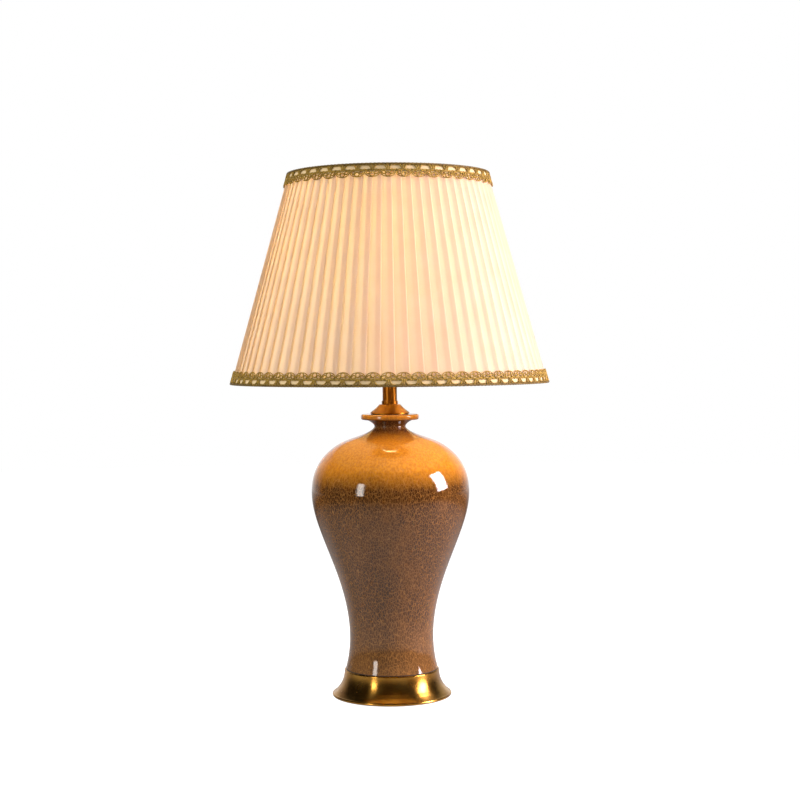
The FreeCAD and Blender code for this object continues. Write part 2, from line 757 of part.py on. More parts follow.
def terminal_screws():
    """The two binding screws, one on each flat of the block."""
    screws = []
    for side in (-1, 1):
        face = V(side * SWITCH_BLOCK_FLAT, 0, saddle_top_z + TERMINAL_HEIGHT)
        shank = Part.makeCylinder(
            TERMINAL_SHANK_RADIUS, TERMINAL_SHANK_LENGTH, face, V(-side, 0, 0)
        )
        head = Part.makeCylinder(TERMINAL_HEAD_RADIUS, TERMINAL_HEAD_THICKNESS, face, V(side, 0, 0))
        screws.append(head.fuse(shank))
    return Part.makeCompound(screws)


def screw_shell():
    """Thin cup that takes the bulb's thread, open at the mouth, with a hole for the contact."""
    inside = SCREW_SHELL_RADIUS - SCREW_SHELL_WALL
    floor = block_top_z + SCREW_SHELL_WALL
    mouth_z = socket_top_z - SCREW_SHELL_RECESS
    hole = CONTACT_TONGUE_WIDTH
    return turned_points(
        [
            (hole, block_top_z),
            (SCREW_SHELL_RADIUS, block_top_z),
            (SCREW_SHELL_RADIUS, mouth_z),
            (inside, mouth_z),
            (inside, floor),
            (hole, floor),
        ]
    )


def centre_contact():
    """Springy brass tongue folded up over the block."""
    half = CONTACT_TONGUE_WIDTH / 2
    thick = CONTACT_TONGUE_THICKNESS
    rise = CONTACT_TONGUE_RISE
    outline = [
        V(-half, -half, block_top_z),
        V(half, -half, block_top_z),
        V(half, -half, block_top_z + thick),
        V(thick - half, -half, block_top_z + thick),
        V(thick - half, -half, block_top_z + rise - thick),
        V(half, -half, block_top_z + rise - thick),
        V(half, -half, block_top_z + rise),
        V(-half, -half, block_top_z + rise),
    ]
    return prism(outline, V(0, CONTACT_TONGUE_WIDTH, 0))


# Switch.

knob_back_y = -(SOCKET_CAP_RADIUS + KNOB_STANDOFF)


def knob_shaft():
    """Plain brass shaft, from its bore in the block to the knob's outer end."""
    start_y = KNOB_SHAFT_DEPTH - SWITCH_BLOCK_RADIUS
    end_y = knob_back_y - KNOB_BORE_DEPTH
    return Part.makeCylinder(
        KNOB_SHAFT_RADIUS, start_y - end_y, V(0, start_y, knob_z), V(0, -1, 0)
    )


def switch_knob():
    """Moulded knob: a plain neck, a fluted grip and a domed end."""
    profile = [
        (0, 0),
        (KNOB_NECK_RADIUS, 0),
        (KNOB_NECK_RADIUS, KNOB_NECK_LENGTH),
        (KNOB_RADIUS, KNOB_NECK_LENGTH + KNOB_NECK_FLARE),
        (KNOB_RADIUS, KNOB_LENGTH - KNOB_END_CHAMFER),
        (KNOB_RADIUS - KNOB_END_CHAMFER, KNOB_LENGTH),
        (0, KNOB_LENGTH),
    ]
    knob = turned_points(profile)
    for i in range(KNOB_FLUTES):
        angle = 2 * math.pi * i / KNOB_FLUTES
        reach = KNOB_RADIUS + KNOB_FLUTE_RADIUS / 2
        place = V(reach * math.cos(angle), reach * math.sin(angle), KNOB_NECK_LENGTH)
        knob = knob.cut(Part.makeCylinder(KNOB_FLUTE_RADIUS, KNOB_LENGTH, place))
    knob = knob.cut(Part.makeCylinder(KNOB_SHAFT_RADIUS + RUNNING_FIT, KNOB_BORE_DEPTH + SEAT_GAP))
    knob.rotate(V(0, 0, 0), V(1, 0, 0), 90)
    knob.translate(V(0, knob_back_y, knob_z))
    return knob


# Bulb.

tip_z = block_top_z + CONTACT_TONGUE_RISE + LOOSE_GAP
insulator_z = tip_z + BULB_TIP_THICKNESS
bulb_cap_z = insulator_z + BULB_INSULATOR_HEIGHT
bulb_cap_top_z = tip_z + BULB_CAP_LENGTH
housing_top_z = tip_z + BULB_HOUSING_HEIGHT
bulb_top_z = tip_z + BULB_LENGTH


def bulb_tip():
    return tube(BULB_TIP_RADIUS, 0, tip_z, insulator_z)


def bulb_insulator():
    return turned_points(
        [
            (0, insulator_z),
            (BULB_TIP_RADIUS, insulator_z),
            (BULB_INSULATOR_RADIUS, bulb_cap_z),
            (0, bulb_cap_z),
        ]
    )


def bulb_cap():
    """Screw cap: a tapered end, the threaded band and the open mouth that grips the housing."""
    inside = BULB_CAP_RADIUS - BULB_CAP_WALL
    taper_z = bulb_cap_z + BULB_CAP_TAPER
    return turned_points(
        [
            (0, bulb_cap_z),
            (BULB_INSULATOR_RADIUS, bulb_cap_z),
            (BULB_CAP_RADIUS, taper_z),
            (BULB_CAP_RADIUS, bulb_cap_top_z),
            (inside, bulb_cap_top_z),
            (inside, taper_z),
            (0, taper_z),
        ]
    )


def bulb_housing():
    """Moulded stem that widens from the cap to the globe."""
    spigot = BULB_CAP_RADIUS - BULB_CAP_WALL - SEAT_GAP
    spigot_z = bulb_cap_z + BULB_SPIGOT_RECESS
    middle = at(BULB_HOUSING_WAIST_RADIUS, (bulb_cap_top_z + housing_top_z) / 2)
    low = at(BULB_CAP_RADIUS, bulb_cap_top_z)
    high = at(BULB_HOUSING_RADIUS, housing_top_z)
    return turned(
        [
            line(at(0, spigot_z), at(spigot, spigot_z)),
            line(at(spigot, spigot_z), at(spigot, bulb_cap_top_z)),
            line(at(spigot, bulb_cap_top_z), low),
            arc(low, middle, high),
            line(high, at(0, housing_top_z)),
            line(at(0, housing_top_z), at(0, spigot_z)),
        ]
    )


def bulb_globe():
    """Thin diffusing dome over the light board."""
    wide_z = bulb_top_z - BULB_RADIUS
    slant = math.sqrt(0.5)
    low = housing_top_z + SEAT_GAP
    belt = (low + wide_z) / 2
    inner = BULB_RADIUS - BULB_GLOBE_WALL
    foot = BULB_HOUSING_RADIUS
    bow = foot + BULB_GLOBE_BULGE
    return turned(
        [
            line(at(foot - BULB_GLOBE_WALL, low), at(foot, low)),
            arc(at(foot, low), at(bow, belt), at(BULB_RADIUS, wide_z)),
            arc(
                at(BULB_RADIUS, wide_z),
                at(BULB_RADIUS * slant, wide_z + BULB_RADIUS * slant),
                at(0, bulb_top_z),
            ),
            line(at(0, bulb_top_z), at(0, bulb_top_z - BULB_GLOBE_WALL)),
            arc(
                at(0, bulb_top_z - BULB_GLOBE_WALL),
                at(inner * slant, wide_z + inner * slant),
                at(inner, wide_z),
            ),
            arc(
                at(inner, wide_z),
                at(bow - BULB_GLOBE_WALL, belt),
                at(foot - BULB_GLOBE_WALL, low),
            ),
        ]
    )


# Shade. Its pieces lie in layers inward from the outermost face.


def face_radius(height, depth):
    """The shade's radius at a height, at a depth under its outermost face."""
    share = (height - shade_bottom_z) / SHADE_HEIGHT
    return SHADE_BOTTOM_RADIUS + (SHADE_TOP_RADIUS - SHADE_BOTTOM_RADIUS) * share - depth


cover_low_z = shade_bottom_z + EDGE_MARGIN
cover_high_z = shade_top_z - EDGE_MARGIN
tape_depth = BRAID_THICKNESS + BRAID_SEAT
crest_depth = tape_depth + TAPE_THICKNESS + CLOTH_GAP
liner_depth = crest_depth + PLEAT_DEPTH + CLOTH_BACKING + SEAT_GAP
ring_depth = liner_depth + LINER_THICKNESS + SEAT_GAP + RING_WIRE_RADIUS


def ring_place(height):
    """Radius and height of a wire ring's centre, where the ring just lies inside the liner."""
    return (face_radius(height + RING_WIRE_RADIUS, ring_depth), height)


low_ring = ring_place(cover_low_z + RING_WIRE_RADIUS)
high_ring = ring_place(cover_high_z - RING_WIRE_RADIUS)


def pleat_corners(crest, height):
    """One level of the cloth: each pleat rises to a folded edge that lies over the next one."""
    step = 2 * math.pi / PLEAT_COUNT
    depth = PLEAT_DEPTH / face_radius(cover_low_z, crest_depth)
    corners = []
    for i in range(PLEAT_COUNT):
        for along, rise in ((0, 0), (PLEAT_SINGLE, PLEAT_RISE), (1 + PLEAT_OVERHANG, 1)):
            angle = math.radians(PLEAT_FIRST_ANGLE) + (i + along) * step
            radius = crest * (1 - depth * (1 - rise))
            corners.append(V(radius * math.cos(angle), radius * math.sin(angle), height))
    return corners


def pleated_cover():
    """Knife-pleated cloth drawn tight between the rings, as one closed skin.

    Both levels are the same outline at two scales, so every pleat's faces are flat.
    """
    low = pleat_corners(face_radius(cover_low_z, crest_depth), cover_low_z)
    high = pleat_corners(face_radius(cover_high_z, crest_depth), cover_high_z)
    faces = [
        Part.Face(Part.makePolygon(low + low[:1])),
        Part.Face(Part.makePolygon(high + high[:1])),
    ]
    for a, b, c, d in zip(low, low[1:] + low[:1], high[1:] + high[:1], high):
        faces.append(Part.Face(Part.makePolygon([a, b, c, d, a])))
    outside = Part.makeSolid(Part.makeShell(faces))
    back = liner_depth - SEAT_GAP
    inside = Part.makeCone(
        face_radius(cover_low_z - OVERSHOOT, back),
        face_radius(cover_high_z + OVERSHOOT, back),
        cover_high_z - cover_low_z + 2 * OVERSHOOT,
        V(0, 0, cover_low_z - OVERSHOOT),
    )
    return outside.cut(inside)


def shade_liner():
    """Stiff translucent sheet rolled to a cone behind the cloth."""
    inner = liner_depth + LINER_THICKNESS
    return turned_points(
        [
            (face_radius(cover_low_z, inner), cover_low_z),
            (face_radius(cover_low_z, liner_depth), cover_low_z),
            (face_radius(cover_high_z, liner_depth), cover_high_z),
            (face_radius(cover_high_z, inner), cover_high_z),
        ]
    )


def wire_ring(ring):
    """Wire ring, many-sided in section because the tape hides it."""
    points = []
    for i in range(RING_SIDES):
        angle = 2 * math.pi * (i + 0.5) / RING_SIDES
        points.append(
            (
                ring[0] + RING_WIRE_RADIUS * math.cos(angle),
                ring[1] + RING_WIRE_RADIUS * math.sin(angle),
            )
        )
    return turned_points(points)


def edge_tape(edge_z, up, ring):
    """Bias tape folded round the wire ring and the edges of liner and cloth, with a corded rim.

    up is 1 at the lower edge, where the flaps rise, and -1 at the upper edge.
    """
    bead = TAPE_BEAD_RADIUS
    bead_z = edge_z + up * bead
    flap_z = edge_z + up * TAPE_OUTER_FLAP
    lip_z = edge_z + up * 2 * bead
    web_z = edge_z + up * TAPE_THICKNESS
    inner_z = edge_z + up * TAPE_INNER_FLAP
    outside = tape_depth
    under = tape_depth + TAPE_THICKNESS
    back = ring[0] - RING_WIRE_RADIUS - SEAT_GAP
    rim = face_radius(bead_z, 0)
    slack = 1 - math.sqrt(0.5)
    flap_end = at(face_radius(flap_z, outside), flap_z)
    lip = at(face_radius(lip_z, outside), lip_z)
    web = at(face_radius(edge_z, under), web_z)
    return turned(
        [
            line(flap_end, lip),
            line(lip, at(rim - bead * slack, edge_z + up * bead * (2 - slack))),
            line(at(rim - bead * slack, edge_z + up * bead * (2 - slack)), at(rim, bead_z)),
            line(at(rim, bead_z), at(rim - bead * slack, edge_z + up * bead * slack)),
            line(at(rim - bead * slack, edge_z + up * bead * slack), at(rim - bead, edge_z)),
            line(at(rim - bead, edge_z), at(back - TAPE_THICKNESS, edge_z)),
            line(at(back - TAPE_THICKNESS, edge_z), at(back - TAPE_THICKNESS, inner_z)),
            line(at(back - TAPE_THICKNESS, inner_z), at(back, inner_z)),
            line(at(back, inner_z), at(back, web_z)),
            line(at(back, web_z), web),
            line(web, at(face_radius(flap_z, under), flap_z)),
            line(at(face_radius(flap_z, under), flap_z), flap_end),
        ]
    )


def braid(edge_z, up):
    """Gimp braid glued round an edge of the shade: one flat plate to each scallop.

    up is 1 at the lower edge, where the scallops point up, and -1 at the upper edge.
    """
    start_z = edge_z + up * 2 * (TAPE_BEAD_RADIUS + SEAT_GAP)
    end_z = edge_z + up * BRAID_HEIGHT
    cusp_z = end_z - up * SCALLOP_DEPTH
    count = round(2 * math.pi * face_radius(edge_z, 0) / BRAID_PITCH)
    step = 2 * math.pi / count
    scallop = []
    for i in range(SCALLOP_CHORDS):
        angle = math.pi * i / SCALLOP_CHORDS
        along = (1 - math.cos(angle)) / 2
        scallop.append((along, cusp_z + (end_z - cusp_z) * math.sin(angle)))

    def corner(depth, place, height):
        """A point of the plate that spans one step, at a place counted in steps."""
        index = math.floor(place)
        radius = face_radius(height, depth)
        low = V(radius * math.cos(index * step), radius * math.sin(index * step), height)
        index += 1
        high = V(radius * math.cos(index * step), radius * math.sin(index * step), height)
        return low + (high - low) * (place - math.floor(place))

    faces = []
    for i in range(count):
        plates = []
        for depth in (0, BRAID_THICKNESS):
            plate = [corner(depth, i, start_z), corner(depth, i + 1, start_z)]
            plate.append(corner(depth, i + 1, cusp_z))
            plate += [corner(depth, i + along, height) for along, height in reversed(scallop)]
            plates.append(plate)
            faces.append(Part.Face(Part.makePolygon(plate + plate[:1])))
        front, back = plates
        edges = list(zip(front, front[1:] + front[:1], back[1:] + back[:1], back))
        for a, b, c, d in edges[:1] + edges[2:-1]:
            faces.append(Part.Face(Part.makePolygon([a, b, c, a])))
            faces.append(Part.Face(Part.makePolygon([a, c, d, a])))
    return Part.makeSolid(Part.makeShell(faces))


# Spider and finial.

arm_x = high_ring[0] - RING_WIRE_RADIUS - SPIDER_WIRE_RADIUS - SEAT_GAP


def arm_angle(index):
    return SPIDER_FIRST_ANGLE + 360 * index / SPIDER_ARMS


def spider_arms():
    """Three wires from the washer out to the top ring, each bent up and welded inside it."""
    level = seat_z + SPIDER_WASHER_THICKNESS / 2
    start = V(SPIDER_WASHER_RADIUS + RUNNING_FIT, 0, level)
    path = bent_path(
        [start, V(arm_x, 0, level), V(arm_x, 0, shade_top_z - EDGE_MARGIN)], [SPIDER_BEND]
    )
    arm = round_wire(path, start, V(1, 0, 0), SPIDER_WIRE_RADIUS)
    arms = []
    for i in range(SPIDER_ARMS):
        copy = arm.copy()
        copy.rotate(V(0, 0, 0), AXIS, arm_angle(i))
        arms.append(copy)
    return Part.makeCompound(arms)


def top_tape():
    """The upper tape, notched where the spider's arms reach the ring."""
    tape = edge_tape(shade_top_z, -1, high_ring)
    half = TAPE_NOTCH_WIDTH / 2
    notch_z = shade_top_z - 2 * TAPE_INNER_FLAP
    for i in range(SPIDER_ARMS):
        notch = box(
            (arm_x - 2 * SPIDER_WIRE_RADIUS, high_ring[0]),
            (-half, half),
            (notch_z, shade_top_z + OVERSHOOT),
        )
        notch.rotate(V(0, 0, 0), AXIS, arm_angle(i))
        tape = tape.cut(notch)
    return tape


def finial():
    """Turned brass finial: a foot, a hollow waist, a ball and a small tip, bored for the stud."""
    foot_z = finial_z + FINIAL_FOOT_HEIGHT
    top_z = finial_z + FINIAL_HEIGHT
    tip_low_z = top_z - FINIAL_TIP_HEIGHT
    ball_z = tip_low_z - math.sqrt(FINIAL_BALL_RADIUS**2 - FINIAL_TIP_RADIUS**2)
    waist_z = (foot_z + ball_z) / 2 - FINIAL_WAIST_DROP
    neck_drop = (ball_z - waist_z) * FINIAL_NECK_SHARE
    ball_low = at(math.sqrt(FINIAL_BALL_RADIUS**2 - neck_drop**2), ball_z - neck_drop)
    tip_edge = at(FINIAL_TIP_RADIUS, top_z - FINIAL_TIP_CHAMFER)
    foot_edge = FINIAL_FOOT_RADIUS - FINIAL_FOOT_CHAMFER
    bore = STUD_RADIUS + RUNNING_FIT
    bore_z = finial_z + FINIAL_BORE_DEPTH
    return turned(
        [
            line(at(bore, finial_z), at(FINIAL_FOOT_RADIUS, finial_z)),
            line(
                at(FINIAL_FOOT_RADIUS, finial_z),
                at(FINIAL_FOOT_RADIUS, foot_z - FINIAL_FOOT_CHAMFER),
            ),
            line(at(FINIAL_FOOT_RADIUS, foot_z - FINIAL_FOOT_CHAMFER), at(foot_edge, foot_z)),
            line(at(foot_edge, foot_z), at(FINIAL_WAIST_RADIUS, waist_z)),
            line(at(FINIAL_WAIST_RADIUS, waist_z), ball_low),
            arc(ball_low, at(FINIAL_BALL_RADIUS, ball_z), at(FINIAL_TIP_RADIUS, tip_low_z)),
            line(at(FINIAL_TIP_RADIUS, tip_low_z), tip_edge),
            line(tip_edge, at(FINIAL_TIP_RADIUS - FINIAL_TIP_CHAMFER, top_z)),
            line(at(FINIAL_TIP_RADIUS - FINIAL_TIP_CHAMFER, top_z), at(0, top_z)),
            line(at(0, top_z), at(0, bore_z)),
            line(at(0, bore_z), at(bore, bore_z)),
            line(at(bore, bore_z), at(bore, finial_z)),
        ]
    )


def main():
    os.makedirs("parts", exist_ok=True)
    pieces = {
        "felt_pad": tube(bead_inside - FELT_INSET, 0, 0, FELT_THICKNESS),
        "foot_weight": foot_weight(),
        "foot_shell": foot_shell(),
        "cord_inlet": cord_inlet(),
        "pipe_nut": hex_nut(),
        "lock_washer": lock_washer(),
        "pipe_washer": tube(WASHER_RADIUS, PIPE_RADIUS + SEAT_GAP, washer_z, deck_under_z),
        "lamp_pipe": tube(PIPE_RADIUS, PIPE_BORE_RADIUS, pipe_bottom_z, pipe_top_z),
        "foot_gasket": foot_gasket(),
        "jar": jar(),
        "cap_gasket": tube(
            CAP_GASKET_RADIUS, JAR_NECK_RADIUS - JAR_WALL, jar_top_z, cap_z
        ),
        "vase_cap": vase_cap(),
        "collar": collar(),
        "neck_tube": tube(NECK_RADIUS, NECK_RADIUS - NECK_WALL, neck_z, saddle_z),
        "saddle": saddle(),
        "socket_cap": socket_cap(),
        "socket_shell": socket_shell(),
        "socket_liner": socket_liner(),
        "switch_block": switch_block(),
        "terminal_screws": terminal_screws(),
        "screw_shell": screw_shell(),
        "centre_contact": centre_contact(),
        "knob_shaft": knob_shaft(),
        "switch_knob": switch_knob(),
        "bulb_tip": bulb_tip(),
        "bulb_insulator": bulb_insulator(),
        "bulb_cap": bulb_cap(),
        "bulb_housing": bulb_housing(),
        "led_board": tube(
            LED_BOARD_RADIUS, 0, housing_top_z, housing_top_z + LED_BOARD_THICKNESS
        ),
        "bulb_globe": bulb_globe(),
        "harp_wire": harp_wire(),
        "harp_stud": harp_stud(),
        "ferrule_left": ferrule(-1),
        "ferrule_right": ferrule(1),
        "spider_washer": tube(
            SPIDER_WASHER_RADIUS, SPIDER_WASHER_BORE, seat_z, seat_z + SPIDER_WASHER_THICKNESS
        ),
        "spider_arms": spider_arms(),
        "shade_top_ring": wire_ring(high_ring),
        "shade_bottom_ring": wire_ring(low_ring),
        "shade_liner": shade_liner(),
        "pleated_cover": pleated_cover(),
        "top_tape": top_tape(),
        "bottom_tape": edge_tape(shade_bottom_z, 1, low_ring),
        "top_braid": braid(shade_top_z, -1),
        "bottom_braid": braid(shade_bottom_z, 1),
        "finial": finial(),
    }
    for name, shape in pieces.items():
        save(name, shape)
        solids = shape.Solids
        state = "closed" if shape.isValid() and solids else "NOT A VALID SOLID"
        print(f"{name}: {len(solids)} solid(s), {shape.Volume / 1000:.2f} cm3, {state}")


main()
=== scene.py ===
import math

import bpy
import numpy as np
from mathutils import Matrix, Vector


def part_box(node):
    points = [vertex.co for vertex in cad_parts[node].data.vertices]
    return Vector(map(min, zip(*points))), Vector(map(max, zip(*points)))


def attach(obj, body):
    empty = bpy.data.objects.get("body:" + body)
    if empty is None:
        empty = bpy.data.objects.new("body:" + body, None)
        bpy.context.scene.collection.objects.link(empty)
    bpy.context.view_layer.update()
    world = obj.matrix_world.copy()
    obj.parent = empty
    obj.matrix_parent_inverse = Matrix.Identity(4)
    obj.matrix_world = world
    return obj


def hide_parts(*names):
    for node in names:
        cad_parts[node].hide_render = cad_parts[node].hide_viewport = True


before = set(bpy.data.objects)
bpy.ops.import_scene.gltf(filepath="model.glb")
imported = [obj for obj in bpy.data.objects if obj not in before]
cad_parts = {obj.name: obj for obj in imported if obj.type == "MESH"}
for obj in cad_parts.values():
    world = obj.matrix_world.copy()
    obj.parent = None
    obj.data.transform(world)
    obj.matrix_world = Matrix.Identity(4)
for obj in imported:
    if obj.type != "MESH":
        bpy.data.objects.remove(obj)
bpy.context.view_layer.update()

# Felt disc.
# The real one is a 2 mm disc of pressed wool felt, cut with a knife and glued under the
# foot's weight so that the lamp doesn't scratch the table.

MM = 0.001
AXIS_RADIUS = 0.01
DISC_SIDES = 96
FELT_EDGE_ROUND = 0.4
FELT_FIBRE = 0.7
FELT_FUZZ = 0.15
FELT_DARK = (0.035, 0.03, 0.024)
FELT_LIGHT = (0.085, 0.075, 0.06)


def add(made, kind, inputs=None, **settings):
    """Adds one shader node to a material, with its settings, and sets or links its inputs."""
    node = made.node_tree.nodes.new(kind)
    for name, value in settings.items():
        setattr(node, name, value)
    for name, value in (inputs or {}).items():
        if isinstance(value, bpy.types.NodeSocket):
            made.node_tree.links.new(value, node.inputs[name])
        else:
            node.inputs[name].default_value = value
    return node


def material(name, **sockets):
    """A new material and its shader, with the sockets that are the same all over."""
    made = bpy.data.materials.new(name)
    made.use_nodes = True
    shader = made.node_tree.nodes["Principled BSDF"]
    for socket, value in sockets.items():
        shader.inputs[socket.replace("_", " ").title().replace("Ior", "IOR")].default_value = value
    return made, shader


def link(made, output, node, socket):
    made.node_tree.links.new(output, node.inputs[socket])


def place(made, stretch=(1, 1, 1)):
    """The point on the object, in metres, squeezed along each axis."""
    where = add(made, "ShaderNodeTexCoord").outputs["Object"]
    return add(made, "ShaderNodeMapping", {"Vector": where, "Scale": stretch}).outputs["Vector"]


def noise(made, feature, detail=3.0, stretch=(1, 1, 1)):
    """Cloudy values from 0 to 1 with features about so many millimetres wide."""
    inputs = {"Vector": place(made, stretch), "Scale": 1 / (feature * MM), "Detail": detail}
    return add(made, "ShaderNodeTexNoise", inputs).outputs["Fac"]


def tones(made, factor, stops):
    """Colours along a factor, as (place, colour) stops."""
    ramp = add(made, "ShaderNodeValToRGB", {"Fac": factor})
    keys = ramp.color_ramp.elements
    while len(keys) < len(stops):
        keys.new(0.5)
    for key, (where, colour) in zip(keys, stops):
        key.position = where
        key.color = (*colour, 1)
    return ramp.outputs["Color"]


def spread(made, factor, low, high, from_low=0.3, from_high=0.7):
    """A factor stretched from one range of values to another."""
    inputs = {
        "Value": factor,
        "From Min": from_low,
        "From Max": from_high,
        "To Min": low,
        "To Max": high,
    }
    return add(made, "ShaderNodeMapRange", inputs).outputs["Result"]


def maths(made, operation, first, second):
    """One sum on two factors or numbers."""
    node = add(made, "ShaderNodeMath", {0: first, 1: second}, operation=operation)
    return node.outputs["Value"]


def blended(made, first, second, share):
    """Two factors added, the first with a share and the second with the rest."""
    return maths(
        made,
        "ADD",
        maths(made, "MULTIPLY", first, share),
        maths(made, "MULTIPLY", second, 1 - share),
    )


def raised(made, shader, height, depth):
    """Relief on the surface, so many millimetres deep."""
    inputs = {"Height": height, "Distance": depth * MM}
    bump = add(made, "ShaderNodeBump", inputs)
    link(made, bump.outputs["Normal"], shader, "Normal")


def grid(rows, columns, closed_rows=False):
    """Four-sided faces over rows of points. Each row is a ring."""
    faces = []
    for i in range(rows if closed_rows else rows - 1):
        for j in range(columns):
            below, right = (i + 1) % rows, (j + 1) % columns
            faces.append(
                (
                    i * columns + j,
                    i * columns + right,
                    below * columns + right,
                    below * columns + j,
                )
            )
    return faces


def turned(profile, sides):
    """Rings of points for a profile of (radius, height) in millimetres."""
    turn = 2 * math.pi * np.arange(sides) / sides
    return np.array(
        [
            (radius * math.cos(angle), radius * math.sin(angle), height)
            for radius, height in profile
            for angle in turn
        ]
    )


def new_piece(name, points, faces, made, body):
    """A new piece of the lamp from points in millimetres, on one of its moving bodies."""
    mesh = bpy.data.meshes.new(name)
    mesh.from_pydata((np.asarray(points) * MM).tolist(), [], faces)
    mesh.validate()
    mesh.shade_smooth()
    made_piece = bpy.data.objects.new(name, mesh)
    bpy.context.scene.collection.objects.link(made_piece)
    mesh.materials.append(made)
    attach(made_piece, body)
    return made_piece


def dress(made, *names):
    """Gives CAD nodes their finish."""
    for name in names:
        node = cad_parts[name]
        for i in range(len(node.data.materials)):
            node.data.materials[i] = made


def corners(name):
    """A CAD node's lowest and highest corner, in millimetres."""
    low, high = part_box(name)
    return low / MM, high / MM


def felt_finish():
    made, shader = material("wool_felt", roughness=0.95, sheen_weight=0.4, sheen_roughness=0.6)
    fibres = noise(made, FELT_FIBRE, 8.0)
    link(made, tones(made, fibres, [(0.3, FELT_DARK), (0.7, FELT_LIGHT)]), shader, "Base Color")
    raised(made, shader, fibres, FELT_FUZZ)
    return made


def felt_disc():
    """The disc with its cut edge slightly rounded."""
    low, high = corners("felt_pad")
    radius = high.x
    ease = FELT_EDGE_ROUND
    profile = [
        (AXIS_RADIUS, low.z),
        (radius * 0.5, low.z),
        (radius - ease, low.z),
        (radius, low.z + ease),
        (radius, high.z - ease),
        (radius - ease, high.z),
        (radius * 0.5, high.z),
        (AXIS_RADIUS, high.z),
    ]
    points = turned(profile, DISC_SIDES)
    faces = grid(len(profile), DISC_SIDES)
    pad = new_piece("felt_disc", points, faces, felt_finish(), "stand")
    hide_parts("felt_pad")


felt_disc()

# Weighted brass foot.
# A brass sheet is spun over a form into a deck, a hollow flare and a rolled rim, then
# polished and toned. A cast ring inside it keeps the lamp upright.

BRASS_LIGHT = (0.58, 0.31, 0.06)
BRASS_DARK = (0.3, 0.125, 0.015)
BRASS_ROUGHNESS = 0.24
BRASS_SPUN = 0.85
BRASS_CLOUD = 22.0
BRASS_SMUDGE = 14.0
DRAWN_MARK = 12.0
DRAWN_MARK_DEPTH = 0.001
IRON_DARK = (0.035, 0.035, 0.037)
IRON_LIGHT = (0.1, 0.1, 0.1)
IRON_GRAIN = 1.2


def brass_finish(name, light, dark, roughness, spun=0.0):
    """Toned or plated metal with darker clouds and smudges.

    On spun metal a highlight spreads across the rings left by the tool, so far as spun says.
    Metal that isn't spun has faint level marks.
    """
    made, shader = material(name, metallic=1.0, anisotropic=spun, anisotropic_rotation=0.25)
    if spun:
        around = add(made, "ShaderNodeTangent", direction_type="RADIAL", axis="Z")
        link(made, around.outputs["Tangent"], shader, "Tangent")
    clouds = noise(made, BRASS_CLOUD, 5.0)
    link(made, tones(made, clouds, [(0.3, dark), (0.66, light)]), shader, "Base Color")
    smudges = noise(made, BRASS_SMUDGE, 2.0)
    link(made, spread(made, smudges, roughness * 0.95, roughness * 1.15), shader, "Roughness")
    if not spun:
        marks = noise(made, DRAWN_MARK, 3.0, stretch=(1, 1, 30))
        raised(made, shader, marks, DRAWN_MARK_DEPTH)
    return made


def iron_finish():
    made, shader = material("sand_cast_iron", metallic=0.6, roughness=0.7)
    grains = noise(made, IRON_GRAIN, 6.0)
    link(made, tones(made, grains, [(0.35, IRON_DARK), (0.7, IRON_LIGHT)]), shader, "Base Color")
    raised(made, shader, grains, 0.12)
    return made


aged_brass = brass_finish("aged_brass", BRASS_LIGHT, BRASS_DARK, BRASS_ROUGHNESS, BRASS_SPUN)
dress(aged_brass, "foot_shell")
dress(iron_finish(), "foot_weight")

# Cord inlet.
# A moulded black bush pressed into the back of the foot.

PLASTIC_BLACK = ((0.012, 0.012, 0.012), (0.03, 0.03, 0.03))


def moulded_finish(name, dark_and_light, roughness, grain=0.6, depth=0.01):
    """Moulded plastic with a fine grain."""
    made, shader = material(name, roughness=roughness)
    dark, light = dark_and_light
    speckle = noise(made, grain, 2.0)
    link(made, tones(made, speckle, [(0.35, dark), (0.65, light)]), shader, "Base Color")
    raised(made, shader, speckle, depth)
    return made


black_plastic = moulded_finish("black_moulding", PLASTIC_BLACK, 0.42)
dress(black_plastic, "cord_inlet")

# Threaded pipe, nut and washers.
# A steel pipe runs from under the foot's deck to the socket and clamps the whole stack.

STEEL_DARK = (0.32, 0.32, 0.33)
STEEL_LIGHT = (0.62, 0.62, 0.62)
STEEL_SPANGLE = 2.5


def steel_finish():
    made, shader = material("zinc_plated_steel", metallic=1.0, roughness=0.35)
    spangle = add(
        made,
        "ShaderNodeTexVoronoi",
        {"Vector": place(made), "Scale": 1 / (STEEL_SPANGLE * MM)},
    ).outputs["Distance"]
    link(made, tones(made, spangle, [(0.1, STEEL_DARK), (0.6, STEEL_LIGHT)]), shader, "Base Color")
    raised(made, shader, noise(made, 0.8, 3.0), 0.01)
    return made


dress(steel_finish(), "lamp_pipe", "pipe_nut", "lock_washer", "pipe_washer")

# Gaskets.
# Thin rings of dark rubber keep brass and ceramic apart.

RUBBER = ((0.012, 0.011, 0.01), (0.035, 0.032, 0.03))
dress(moulded_finish("dark_rubber", RUBBER, 0.75, 0.9, 0.03), "foot_gasket", "cap_gasket")
